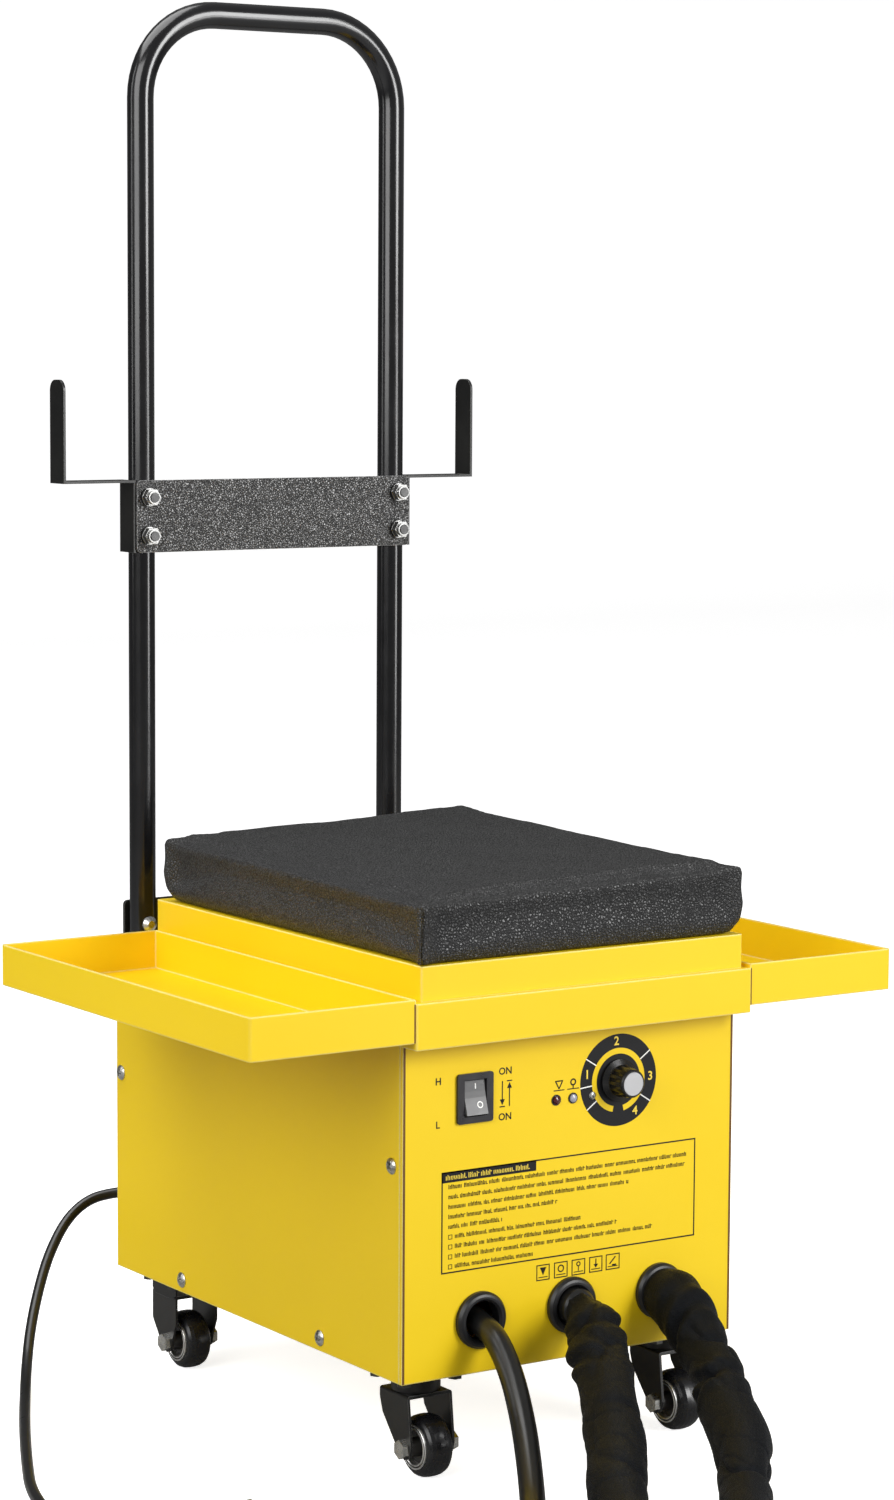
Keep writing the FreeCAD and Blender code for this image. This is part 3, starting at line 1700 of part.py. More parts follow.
HOSE_B = [
    (242, -20, 33),
    (242, -40, 21),
    (236, -66, 6),
    (223, -102, -9),
    (205, -142, -27),
    (181, -184, -45),
    (150, -228, -57),
    (110, -282, -60),
    (36, -366, -60),
    (-66, -432, -60),
    (-188, -466, -60),
    (-312, -454, -60),
    (-420, -392, -60),
    (-500, -298, -60),
    (-538, -182, -60),
    (-544, -62, -60),
]
MAINS = [
    (54, 459, 50),
    (52, 473, 50),
    (42, 488, 49.5),
    (26, 498, 48),
    (5, 503, 44),
    (-18, 500, 30),
    (-42, 486, 6),
    (-62, 467, -18),
    (-84, 440, -44),
    (-103, 410, -66),
    (-128, 364, -75.5),
    (-164, 295, -75.5),
    (-207, 208, -75.5),
    (-247, 122, -75.5),
    (-263, 36, -75.5),
    (-265, -40, -75.5),
    (-265, -108, -75.5),
]
earth_points = seat_points(EARTH)
hose_a_points = seat_points(HOSE_A)
hose_b_points = seat_points(HOSE_B)
mains_points = seat_points(MAINS)
mains_points[0] = Vector(-gland_x.value, (back + s.gland_long + s.gland_dome).value, s.gland_z.value)


def hose_core(x):
    """The bare cable inside the sleeve, from its socket out through the grommet."""
    y0 = FRONT - s.grommet_front.value * 4
    y1 = lug_y0.value
    return Part.makeCylinder(s.core_dia.value / 2, y1 - y0, Vector(x, y0, s.grommet_z.value), Vector(0, 1, 0))


cord("earth_cable", earth_points, s.earth_dia.value)
cord("gun_hose_a", hose_a_points, s.hose_dia.value, hose_core(0))
cord("gun_hose_b", hose_b_points, s.hose_dia.value, hose_core(s.grommet_step.value))
cord("mains_cord", mains_points, s.mains_dia.value)


def coil_edges(start, heading, radii, climb_at, rise):
    """Half turns to the left of the heading; one of them, tilted, climbs to the upper layer."""
    edges = []
    at = start
    way = heading
    for i, radius in enumerate(radii):
        left = Vector(-way.y, way.x, 0)
        across = left * (2 * radius)
        if i == climb_at:
            level = math.sqrt((2 * radius) ** 2 - rise ** 2)
            across = left * level + Vector(0, 0, rise)
        centre = at + across * 0.5
        middle = centre + way * radius
        end = at + across
        edges.append(Part.Arc(at, middle, end).toShape())
        at = end
        way = way * -1
    return edges, at, way


def self_gap(points, dia, skip):
    """The least space between turns, measured on points along the path."""
    least = 1e9
    for i, a in enumerate(points):
        for b in points[i + skip :]:
            least = min(least, a.distanceToPoint(b))
    return least - dia


# Coil of the mains cord: five half turns in, one that climbs, five half turns out.
turns = 5
step = s.coil_step.value
inward_radii = [s.coil_turn.value - i * step / 2 for i in range(turns)]
coil_radii = inward_radii + [inward_radii[-1] - step / 2] + inward_radii[::-1]
coil_start = mains_points[-1]
coil_heading = (mains_points[-1] - mains_points[-2]).normalize()
coil_heading = Vector(round(coil_heading.x), round(coil_heading.y), 0)
edges, coil_end, coil_way = coil_edges(coil_start, coil_heading, coil_radii, turns, step)
straight_end = coil_end + coil_way * s.mains_dia.value
edges.append(Part.LineSegment(coil_end, straight_end).toShape())
coil_wire = Part.Wire(edges)
circle = Part.Wire([Part.Circle(coil_start, coil_heading, mains_r).toShape()])
coil_solid = coil_wire.makePipeShell([circle], True, False)
if coil_solid.Volume < 0:
    coil_solid.reverse()
coil_want = math.pi * mains_r ** 2 * coil_wire.Length
if abs(coil_solid.Volume / coil_want - 1) > 0.02:
    raise SystemExit("coil has %.0f of %.0f" % (coil_solid.Volume, coil_want))
spaced = coil_wire.discretize(Distance=3.0)
print("mains_coil length %.0f" % coil_wire.Length, "self gap %.2f" % self_gap(spaced, s.mains_dia.value, 10))
item = doc.addObject("Part::Feature", "mains_coil_form")
item.Shape = coil_solid
name(item, "mains_coil")


def turned_to(way):
    """The rotation about Z that points +Y along a level direction."""
    return FreeCAD.Rotation(Vector(0, 0, 1), math.degrees(math.atan2(-way.x, way.y)))


def at_end(item, point, way, label):
    """Sets a group at the end of a cord, with its +Y along the cord."""
    holder = group(item)
    holder.Placement = FreeCAD.Placement(point, turned_to(way))
    return name(holder, label)


# Plug: tapered strain relief, body and two round pins.
body = new_body()
plug_y0 = s.plug_relief_long
plug_y1 = plug_y0 + s.plug_long
plug_x = s.plug_wide / 2
plug_z = s.plug_high / 2
pad(
    body,
    "XY",
    -plug_z,
    plug_z,
    [
        [
            (-plug_x * 0.55, plug_y0),
            (plug_x * 0.55, plug_y0),
            (plug_x, plug_y0 + s.plug_long * 0.4),
            (plug_x, plug_y1),
            (-plug_x, plug_y1),
            (-plug_x, plug_y0 + s.plug_long * 0.4),
        ]
    ],
)
fillet(body, s.plug_round, lambda e: not straight(e, "Z") and e.CenterOfMass.y < plug_y1.value - 0.01)
relief = taper("Y", 0, 0, 0, s.mains_dia * 1.07, s.plug_relief_dia, s.plug_relief_long)
pins = [rod("Y", sign * s.pin_apart / 2, plug_y1, 0, s.pin_dia, s.pin_long) for sign in (-1, 1)]
at_end(plus(body, relief, *pins), straight_end, coil_way, "mains_plug")

# Earth clamp on its side: two arms on one pin, the left one fixed to the cable.
clamp_z = s.clamp_wide / 2
pivot_x = s.clamp_pivot * 0.238
pivot_y = s.clamp_pivot
mid_gap = s.clamp_jaw_gap / 2
arm_shares = [
    (-0.65, 0.17),
    (-0.42, 0.82),
    (-0.30, 0.93),
    (-0.30, 1.09),
    (-0.45, 1.13),
    (0.0, 1.70),
    (0.0, 1.79),
    (-0.40, 1.79),
    (-0.85, 1.52),
    (-0.90, 1.07),
    (-1.0, 0.80),
    (-1.32, 0.17),
]


def arm_outline(sign):
    """One arm beside the pin: handle, waist and jaw."""
    points = []
    for u, w in arm_shares:
        points.append((pivot_x + sign * (u * pivot_x - mid_gap), w * pivot_y))
    return points if sign > 0 else points[::-1]


ear = s.clamp_pin_dia * 1.35
ear_in = clamp_z - s.clamp_sheet * 1.5
ear_gap = s.seam_gap
body = new_body()
pad(body, "XY", -clamp_z, clamp_z, [arm_outline(1)])
pocket(
    body,
    "XY",
    -ear_in,
    ear_in,
    [],
    [(pivot_x, pivot_y, (ear + ear_gap * 2) * 2)],
)
arm_parts = [body]
for z0, z1 in ((-clamp_z, -ear_in), (ear_in, clamp_z)):
    arm_parts.append(rod("Z", pivot_x, pivot_y, z0, ear * 2, z1 - z0))
arm_parts.append(rod("Z", pivot_x, pivot_y, -clamp_z, s.clamp_pin_dia, clamp_z * 2))
arm_parts.append(rod("Y", 0, 0, 0, s.clamp_barrel_dia, s.clamp_barrel_long))
clamp_way = (earth_points[-1] - earth_points[-2])
clamp_way.z = 0
clamp_way.normalize()
at_end(plus(*arm_parts), earth_points[-1], clamp_way, "clamp_fixed_arm")
body = new_body()
pad(body, "XY", -clamp_z, clamp_z, [arm_outline(-1)])
for z0, z1 in ((-clamp_z - s.overrun, -ear_in + ear_gap), (ear_in - ear_gap, clamp_z + s.overrun)):
    pocket(body, "XY", z0, z1, [], [(pivot_x, pivot_y, (ear + ear_gap * 2) * 2)])
moving = plus(body, rod("Z", pivot_x, pivot_y, -ear_in + ear_gap, ear * 2, ear_in * 2 - ear_gap * 2))
pin_hole = rod(
    "Z", pivot_x, pivot_y, -clamp_z - s.overrun, s.clamp_pin_dia + s.axle_play * 2, clamp_z * 2 + s.overrun * 2
)
at_end(minus(moving, pin_hole), earth_points[-1], clamp_way, "clamp_moving_arm")

# Spot gun on its side: grip, barrel, collar and chuck, with a trigger in a slot of the grip.
thick = s.gun_thick / 2
grip = s.gun_grip_wide / 2
barrel_y0 = s.gun_grip_long - s.gun_barrel_wide / 2
barrel_y1 = s.gun_grip_long + s.gun_barrel_wide / 2
nose_x = -grip - s.gun_front
tail_x = grip + s.gun_rear
body = new_body()
pad(
    body,
    "XY",
    -thick,
    thick,
    [
        [
            (-grip * 0.9, 0),
            (grip * 0.9, 0),
            (grip, barrel_y0 * 0.6),
            (grip * 1.15, barrel_y0),
            (tail_x, barrel_y0 + s.gun_round * 0.5),
            (tail_x, barrel_y1 - s.gun_round),
            (tail_x - s.gun_round * 2, barrel_y1),
            (nose_x, barrel_y1),
            (nose_x, barrel_y0),
            (-grip, barrel_y0),
            (-grip, barrel_y0 * 0.55),
        ]
    ],
)
fillet(
    body,
    s.gun_round,
    lambda e: not straight(e, "Z") and e.CenterOfMass.x > nose_x.value + 0.01 and e.CenterOfMass.y > 0.01,
)
slot_z = s.trigger_thick / 2 + s.trigger_play
slot_y0 = barrel_y0 - s.trigger_long - s.trigger_play * 2
slot_y1 = barrel_y0 - s.trigger_play
pocket(
    body,
    "XY",
    -slot_z,
    slot_z,
    [rect(-grip - s.overrun * 2, -grip + s.trigger_sunk + s.trigger_travel, slot_y0, slot_y1)],
)
pin_x = -grip + s.trigger_sunk * 0.5
pin_y = slot_y1 - s.trigger_pin_dia * 1.2
trigger_pin = rod("Z", pin_x, pin_y, -slot_z - s.overrun, s.trigger_pin_dia, slot_z * 2 + s.overrun * 2)
gun_form = plus(body, trigger_pin)
chuck_form = minus(
    plus(
        rod("X", nose_x - s.gun_collar_long, s.gun_grip_long, 0, s.gun_collar_dia, s.gun_collar_long),
        rod(
            "X",
            nose_x - s.gun_collar_long - s.gun_chuck_long,
            s.gun_grip_long,
            0,
            s.gun_chuck_dia,
            s.gun_chuck_long,
        ),
        rod(
            "X",
            nose_x - s.gun_collar_long - s.gun_chuck_long - s.gun_rod_long,
            s.gun_grip_long,
            0,
            s.gun_rod_dia,
            s.gun_rod_long,
        ),
    ),
    rod(
        "X",
        nose_x - s.gun_collar_long - s.gun_chuck_long - s.gun_rod_long - s.overrun,
        s.gun_grip_long,
        0,
        s.gun_bore_dia,
        s.gun_bore_deep + s.overrun,
    ),
)
body = new_body()
t_half_z = s.trigger_thick / 2
face_x = -grip - s.trigger_wide + s.trigger_sunk * 0.6
pad(
    body,
    "XY",
    -t_half_z,
    t_half_z,
    [
        [
            (-grip + s.trigger_sunk, slot_y0 + s.trigger_play * 3),
            (-grip + s.trigger_sunk, slot_y1 - s.trigger_play * 2),
            (face_x + s.trigger_sunk * 0.6, slot_y1 - s.trigger_play * 2),
            (face_x, slot_y1 - s.trigger_long * 0.3),
            (face_x + s.trigger_sunk * 0.3, slot_y1 - s.trigger_long * 0.6),
            (face_x - s.trigger_sunk * 0.2, slot_y0 + s.trigger_play * 3),
        ]
    ],
    [(pin_x, pin_y, s.trigger_pin_dia + s.axle_play * 2)],
)
trigger_form = body
gun_ends = []
for points in (hose_a_points, hose_b_points):
    way = (points[-1] - points[-2])
    way.z = 0
    gun_ends.append((points[-1], way.normalize()))


def pair_at_ends(item, label):
    holders = []
    for point, way in gun_ends:
        holder = group(item)
        holder.Placement = FreeCAD.Placement(point, turned_to(way))
        holders.append(holder)
    return name(group(*holders), label)


pair_at_ends(gun_form, "gun_bodies")
pair_at_ends(chuck_form, "gun_chucks")
at_end(trigger_form, *gun_ends[0], "gun_a_trigger")
at_end(trigger_form, *gun_ends[1], "gun_b_trigger")

# Check everything, then write one file for each piece.
doc.recompute()
bad = [o.Name for o in doc.Objects if "Invalid" in o.State or "Error" in o.State]
if bad:
    raise SystemExit("failed objects: " + ", ".join(bad))
for label, item in nodes.items():
    if item.Shape.isNull() or not item.Shape.isValid() or not item.Shape.Solids:
        raise SystemExit("bad shape: " + label)
for label, item in nodes.items():
    item.Shape.exportStep("parts/%s.step" % label)


def tell(label, point, way=None):
    text = "%s at %.3f %.3f %.3f" % (label, point.x, point.y, point.z)
    if way is not None:
        text += " way %.5f %.5f" % (way.x, way.y)
    print(text)


print(len(nodes), "pieces")
for label, (point, way) in zip(("gun_a", "gun_b"), gun_ends):
    spin = FreeCAD.Placement(point, turned_to(way))
    tell(label + " trigger pin", spin.multVec(Vector(pin_x.value, pin_y.value, 0)), way)
    bore_x = (nose_x - s.gun_collar_long - s.gun_chuck_long - s.gun_rod_long).value
    tell(label + " bore mouth", spin.multVec(Vector(bore_x, s.gun_grip_long.value, 0)))
spin = FreeCAD.Placement(earth_points[-1], turned_to(clamp_way))
tell("clamp pin", spin.multVec(Vector(pivot_x.value, pivot_y.value, 0)), clamp_way)
tell("front plane", Vector(0, FRONT, 0))
tell("leg line", Vector(leg_half.value, leg_y.value, 0))
tell("coil end", straight_end)
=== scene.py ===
"""Looks of the dent pulling spot welder: camera, cords, seat, prints, small parts, finishes and light."""

import math

import bmesh
import bpy
import numpy as np
from mathutils import Matrix, Vector


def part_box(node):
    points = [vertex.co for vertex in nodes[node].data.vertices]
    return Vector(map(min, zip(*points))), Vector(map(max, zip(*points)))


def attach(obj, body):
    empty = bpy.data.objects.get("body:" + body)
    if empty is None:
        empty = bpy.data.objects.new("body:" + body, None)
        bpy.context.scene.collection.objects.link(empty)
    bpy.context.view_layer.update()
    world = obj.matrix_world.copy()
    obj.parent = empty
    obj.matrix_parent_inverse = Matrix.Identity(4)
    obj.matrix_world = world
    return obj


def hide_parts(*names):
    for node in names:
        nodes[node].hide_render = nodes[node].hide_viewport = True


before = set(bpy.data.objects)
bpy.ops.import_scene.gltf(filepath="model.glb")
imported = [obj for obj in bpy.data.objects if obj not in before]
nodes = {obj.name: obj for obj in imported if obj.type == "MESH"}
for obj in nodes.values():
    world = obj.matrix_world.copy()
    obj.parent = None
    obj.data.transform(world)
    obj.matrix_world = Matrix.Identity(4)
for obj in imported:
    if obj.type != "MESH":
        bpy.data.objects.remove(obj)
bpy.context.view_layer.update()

MM = 0.001

# The cabinet's front lower left corner, from which the cords' routes are measured.
panel_low, panel_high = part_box("front_panel")
FRONT = panel_low.y
CORNER = np.array([-0.154, FRONT, 0.080])
FLOOR = 0.0

# Camera of the photo: place, turn, and how many pixels its focal length takes.
IMAGE_HIGH = 1500
FOCAL_PIXELS = 3813.6
SENSOR = 36.0
CAMERA_PLACE = (-1.6645, -2.5628, 0.8599)
CAMERA_YAW = 33.523
CAMERA_PITCH = 6.189
CAMERA_ROLL = 0.324


def aim_camera():
    """Yaw turns the view from +Y towards +X, pitch looks down and roll leans the picture."""
    yaw, pitch, roll = (math.radians(a) for a in (CAMERA_YAW, CAMERA_PITCH, CAMERA_ROLL))
    ahead = Vector((math.sin(yaw) * math.cos(pitch), math.cos(yaw) * math.cos(pitch), -math.sin(pitch)))
    right = Vector((math.cos(yaw), -math.sin(yaw), 0))
    up = right.cross(ahead)
    leaned_right = right * math.cos(roll) + up * math.sin(roll)
    leaned_up = up * math.cos(roll) - right * math.sin(roll)
    data = bpy.data.cameras.new("camera")
    data.sensor_width = SENSOR
    data.lens = FOCAL_PIXELS * SENSOR / IMAGE_HIGH
    data.clip_start = 0.05
    data.clip_end = 100
    camera = bpy.data.objects.new("camera", data)
    bpy.context.scene.collection.objects.link(camera)
    turn = Matrix((leaned_right, leaned_up, -ahead)).transposed().to_4x4()
    camera.matrix_world = Matrix.Translation(CAMERA_PLACE) @ turn
    bpy.context.scene.camera = camera


aim_camera()


# Node trees: short calls that add a node and join it up.
def node(tree, kind, inputs=None, **settings):
    """Adds a node; each input is a number, a tuple or another node's socket."""
    made = tree.nodes.new(kind)
    for key, value in settings.items():
        setattr(made, key, value)
    for key, value in (inputs or {}).items():
        if isinstance(value, bpy.types.NodeSocket):
            tree.links.new(value, made.inputs[key])
        else:
            made.inputs[key].default_value = value
    return made


def maths(tree, operation, first, second=0.0):
    return node(tree, "ShaderNodeMath", {0: first, 1: second}, operation=operation).outputs[0]


def vector_maths(tree, operation, first, second):
    return node(tree, "ShaderNodeVectorMath", {0: first, 1: second}, operation=operation).outputs[0]


def slant(tree, first, second):
    """The long side over two sides that stand square: the root of the sum of their squares."""
    squares = maths(tree, "ADD", maths(tree, "POWER", first, 2.0), maths(tree, "POWER", second, 2.0))
    return maths(tree, "SQRT", squares)


def object_place(tree):
    return node(tree, "ShaderNodeTexCoord").outputs["Object"]


def split(tree, vector):
    return node(tree, "ShaderNodeSeparateXYZ", {0: vector}).outputs


def grey(level):
    return (level, level, level)


def blend_colour(tree, mask, first, second):
    """Mixes two colours, each of them three numbers or another node's socket."""
    first, second = (c if isinstance(c, bpy.types.NodeSocket) else (*c, 1) for c in (first, second))
    return node(tree, "ShaderNodeMix", {0: mask, 6: first, 7: second}, data_type="RGBA").outputs[2]


def span(tree, value, low, high, out_low=0.0, out_high=1.0):
    """Maps a value from one range to another, held at the ends."""
    inputs = {0: value, 1: low, 2: high, 3: out_low, 4: out_high}
    return node(tree, "ShaderNodeMapRange", inputs).outputs[0]


def band_mask(tree, value, low, high, soft=0.00015):
    """One between two values and none outside them, with soft edges."""
    rise = span(tree, value, low - soft, low + soft)
    return maths(tree, "MULTIPLY", rise, span(tree, value, high - soft, high + soft, 1.0, 0.0))


def noise(tree, place, scale, detail=3.0, rough=0.5, warp=0.0):
    inputs = {"Vector": place, "Scale": scale, "Detail": detail, "Roughness": rough, "Distortion": warp}
    return node(tree, "ShaderNodeTexNoise", inputs).outputs["Fac"]


def new_group(name, inputs, outputs):
    """A shader node group with named float inputs and named float or vector outputs."""
    tree = bpy.data.node_groups.new(name, "ShaderNodeTree")
    for label, value in inputs.items():
        tree.interface.new_socket(label, in_out="INPUT", socket_type="NodeSocketFloat").default_value = value
    for label, kind in outputs.items():
        tree.interface.new_socket(label, in_out="OUTPUT", socket_type="NodeSocket" + kind)
    return tree, tree.nodes.new("NodeGroupInput").outputs, tree.nodes.new("NodeGroupOutput").inputs


def grain_group():
    """Fine grain for the bump and broad soft patches for the tone. Sizes are in millimetres."""
    tree, given, out = new_group(
        "grain", {"Grain Size": 0.6, "Patch Size": 60.0}, {"Height": "Float", "Patch": "Float"}
    )
    place = object_place(tree)
    fine = noise(tree, place, maths(tree, "DIVIDE", 1000.0, given["Grain Size"]), 2.0, 0.6)
    broad = noise(tree, place, maths(tree, "DIVIDE", 1000.0, given["Patch Size"]), 4.0, 0.6)
    tree.links.new(fine, out["Height"])
    tree.links.new(span(tree, broad, 0.3, 0.7), out["Patch"])
    return tree


def edge_group():
    """A normal rounded near edges within a radius in millimetres, and a mask from the cosine of its turn."""
    tree, given, out = new_group("soft_edge", {"Radius": 0.8}, {"Mask": "Float", "Normal": "Vector"})
    radius = maths(tree, "MULTIPLY", given["Radius"], MM)
    soft = node(tree, "ShaderNodeBevel", {"Radius": radius}, samples=4).outputs[0]
    flat = node(tree, "ShaderNodeNewGeometry").outputs["Normal"]
    cosine = node(tree, "ShaderNodeVectorMath", {0: soft, 1: flat}, operation="DOT_PRODUCT").outputs["Value"]
    tree.links.new(span(tree, cosine, 0.995, 0.85), out["Mask"])
    tree.links.new(soft, out["Normal"])
    return tree


def pebble_group():
    """Rounded pebbles with creases between them; size in millimetres, warp bends the cells."""
    tree, given, out = new_group(
        "pebbles", {"Size": 1.6, "Warp": 0.4}, {"Height": "Float", "Crease": "Float"}
    )
    place = object_place(tree)
    scale = maths(tree, "DIVIDE", 1000.0, given["Size"])
    drift = node(tree, "ShaderNodeTexNoise", {"Vector": place, "Scale": scale, "Detail": 2.0})
    drift = vector_maths(tree, "SUBTRACT", drift.outputs["Color"], grey(0.5))
    reach = maths(tree, "MULTIPLY", maths(tree, "MULTIPLY", given["Size"], MM), given["Warp"])
    moved = node(tree, "ShaderNodeVectorMath", {0: drift, "Scale": reach}, operation="SCALE").outputs[0]
    bent = vector_maths(tree, "ADD", place, moved)
    cells = node(tree, "ShaderNodeTexVoronoi", {"Vector": bent, "Scale": scale}, feature="DISTANCE_TO_EDGE")
    from_crease = cells.outputs["Distance"]
    small = noise(tree, place, maths(tree, "MULTIPLY", scale, 3.0), 2.0, 0.6)
    height = maths(tree, "ADD", span(tree, from_crease, 0.0, 0.28), maths(tree, "MULTIPLY", small, 0.25))
    tree.links.new(height, out["Height"])
    tree.links.new(span(tree, from_crease, 0.02, 0.12, 1.0, 0.0), out["Crease"])
    return tree


GRAIN = grain_group()
EDGE = edge_group()
PEBBLES = pebble_group()


def grouped(tree, group, **inputs):
    """A group node in a material's tree, with its named inputs set; underscores stand for spaces."""
    made = tree.nodes.new("ShaderNodeGroup")
    made.node_tree = group
    for key, value in inputs.items():
        made.inputs[key.replace("_", " ")].default_value = value
    return made.outputs


def bare_finish(name, metal=0.0, coat=0.0, **sockets):
    """A material with one Principled shader; constants are set on its own sockets."""
    material = bpy.data.materials.new(name)
    material.use_nodes = True
    tree = material.node_tree
    shader = tree.nodes["Principled BSDF"]
    shader.inputs["Metallic"].default_value = metal
    shader.inputs["Coat Weight"].default_value = coat
    for key, value in sockets.items():
        shader.inputs[key.replace("_", " ")].default_value = value
    return material, tree, shader.inputs


def bump(tree, height, depth, normal=None):
    """Bump of a depth in millimetres."""
    inputs = {"Height": height, "Distance": depth * MM, "Strength": 1.0}
    if normal is not None:
        inputs["Normal"] = normal
    return node(tree, "ShaderNodeBump", inputs).outputs[0]


def join_up(tree, shader, tone, rough, normal, metal=None):
    """Links a finish's tone, roughness and normal to its shader, and where given its mask of metal."""
    tree.links.new(tone, shader["Base Color"])
    tree.links.new(rough, shader["Roughness"])
    tree.links.new(normal, shader["Normal"])
    if metal is not None:
        tree.links.new(metal, shader["Metallic"])


def finish(
    name, deep, pale, rough, grain=0.6, depth=0.01, patch=60.0, spread=0.06, edge=None, radius=0.8, **more
):
    """Tone drifts from deep to pale in soft patches over a fine grain; an edge colour paints a highlight
    along the edges.
    Roughness spreads as far either way. Grain, its depth, patch and the edge's radius are millimetres."""
    material, tree, shader = bare_finish(name, **more)
    texture = grouped(tree, GRAIN, Grain_Size=grain, Patch_Size=patch)
    tone = blend_colour(tree, texture["Patch"], deep, pale)
    normal = None
    if edge is not None:
        soft = grouped(tree, EDGE, Radius=radius)
        # Painted highlight: the edge colour lightens the rounded edges.
        tone = blend_colour(tree, soft["Mask"], tone, edge)
        normal = soft["Normal"]
    rough = span(tree, texture["Patch"], 0, 1, rough - spread, rough + spread)
    join_up(tree, shader, tone, rough, bump(tree, texture["Height"], depth, normal))
    return material


# Yellow powder coat; its pale edge colour is a painted highlight along the rounded edges.
YELLOW = finish(
    "yellow_powder_coat",
    (0.855, 0.590, 0.007),
    (0.870, 0.605, 0.009),
    0.42,
    grain=0.9,
    depth=0.010,
    patch=140.0,
    spread=0.03,
    edge=(1.0, 0.93, 0.42),
    radius=2.0,
    Specular_IOR_Level=0.3,
)
# Painted highlight: the satin black steel's edges are painted a lighter grey.
painted_edge_highlight = {"edge": (0.16, 0.16, 0.155), "radius": 0.6}
STEEL_BLACK = finish("satin_black_steel", grey(0.004), (0.008, 0.008, 0.007), 0.36, 0.5, 0.012, **painted_edge_highlight)
# Painted shade: a dark brown laid on strips where gaps between panels fall into shade.
PAINTED_SHADE = finish("painted_gap_shade", (0.115, 0.040, 0.001), (0.140, 0.052, 0.002), 0.6, 0.9, 0.010, 40.0)
ZINC = finish("zinc_plate", (0.52, 0.52, 0.50), (0.76, 0.76, 0.73), 0.27, 0.25, 0.004, 6.0, 0.08, metal=1.0)
BOLT_STEEL = finish("dark_bolt_steel", grey(0.06), (0.12, 0.12, 0.11), 0.36, 0.25, 0.006, 5.0, metal=0.9)
RUBBER = finish("soft_black_rubber", (0.005, 0.005, 0.006), (0.009, 0.009, 0.010), 0.40, 0.35, 0.006)
TYRE = finish("tyre_rubber", (0.006, 0.006, 0.007), (0.010, 0.010, 0.011), 0.27, 0.3, 0.004, 12.0)
PLASTIC = finish("black_plastic", grey(0.006), grey(0.010), 0.24, 0.5, 0.006, 15.0)
ROCKER = finish("grey_plastic", (0.070, 0.070, 0.072), (0.090, 0.090, 0.092), 0.36, 0.3, 0.012, 10.0)
BEZEL = finish("black_bezel", (0.012, 0.011, 0.014), (0.018, 0.017, 0.020), 0.32, 0.3, 0.008, 10.0)
GUN = finish("gun_plastic", (0.010, 0.010, 0.011), (0.017, 0.017, 0.018), 0.46, 0.45, 0.030, 20.0)
TRIGGER = finish("red_plastic", (0.42, 0.012, 0.010), (0.50, 0.018, 0.014), 0.34, 0.4, 0.008, 12.0)
BRASS = finish("turned_brass", (0.62, 0.42, 0.16), (0.74, 0.52, 0.22), 0.28, 0.2, 0.005, 8.0, metal=1.0)
CLAMP = finish("pressed_steel", (0.42, 0.42, 0.41), (0.58, 0.58, 0.56), 0.34, 0.4, 0.010, 20.0, metal=1.0)
SINK = finish("sink_aluminium", (0.60, 0.61, 0.62), (0.72, 0.73, 0.74), 0.36, 0.3, 0.006, 12.0, metal=1.0)
COPPER = finish("bar_copper", (0.72, 0.34, 0.20), (0.82, 0.42, 0.26), 0.32, 0.3, 0.006, 15.0, metal=1.0)
WHITE_INK = finish("white_ink", (0.86, 0.86, 0.82), (0.92, 0.92, 0.88), 0.42, 0.3, 0.002, 20.0)
YELLOW_INK = finish("yellow_ink", (0.86, 0.62, 0.04), (0.90, 0.68, 0.08), 0.42, 0.3, 0.002, 20.0)
DULL_ZINC = finish(
    "dull_zinc", (0.44, 0.44, 0.42), (0.66, 0.66, 0.63), 0.30, 0.25, 0.006, 5.0, 0.08, metal=1.0
)

glossy = {"coat": 0.3, "Coat_Roughness": 0.10}
TUBE_BLACK = finish(
    "gloss_black_coat", (0.004, 0.004, 0.0045), (0.006, 0.006, 0.007), 0.20, 0.8, 0.012, **glossy
)
sheathed = {"coat": 0.2, "Coat_Roughness": 0.2}
CABLE = finish("smooth_cable_rubber", grey(0.0045), grey(0.007), 0.32, 0.4, 0.004, **sheathed)
flat_ink = {"Specular_IOR_Level": 0.25}
INK = finish("black_ink", (0.004, 0.004, 0.005), (0.007, 0.007, 0.009), 0.5, 0.3, 0.002, 20.0, **flat_ink)
TEXT_INK = finish("thin_ink", (0.006, 0.005, 0.003), (0.014, 0.010, 0.004), 0.5, 0.3, 0.002, 9.0, **flat_ink)
domed = {"coat": 0.6, "Coat_Roughness": 0.04}
RED_LENS = finish(
    "red_lens", (0.050, 0.004, 0.006), (0.075, 0.006, 0.008), 0.12, 0.3, 0.002, 4.0, 0.03, **domed
)
CLEAR_LENS = finish(
    "clear_lens", (0.30, 0.31, 0.36), (0.42, 0.43, 0.48), 0.12, 0.3, 0.002, 4.0, 0.03, **domed
)


def leather_finish():
    """Black grained leather: pebbles that catch the light over dull creases; their tops carry a painted
    highlight and the creases painted shade.
    """
    material, tree, shader = bare_finish("grained_leather")
    cells = grouped(tree, PEBBLES, Size=2.4, Warp=0.7)
    texture = grouped(tree, GRAIN, Grain_Size=0.3, Patch_Size=50.0)
    tone = blend_colour(tree, texture["Patch"], grey(0.013), grey(0.021))
    # Painted highlight: the pebble tops are painted lighter.
    tone = blend_colour(tree, span(tree, cells["Height"], 0.45, 1.0), tone, grey(0.042))
    # Painted shade: the creases are painted darker.
    tone = blend_colour(tree, cells["Crease"], tone, grey(0.003))
    rough = span(tree, cells["Crease"], 0, 1, 0.30, 0.60)
    join_up(tree, shader, tone, rough, bump(tree, cells["Height"], 0.60))
    return material


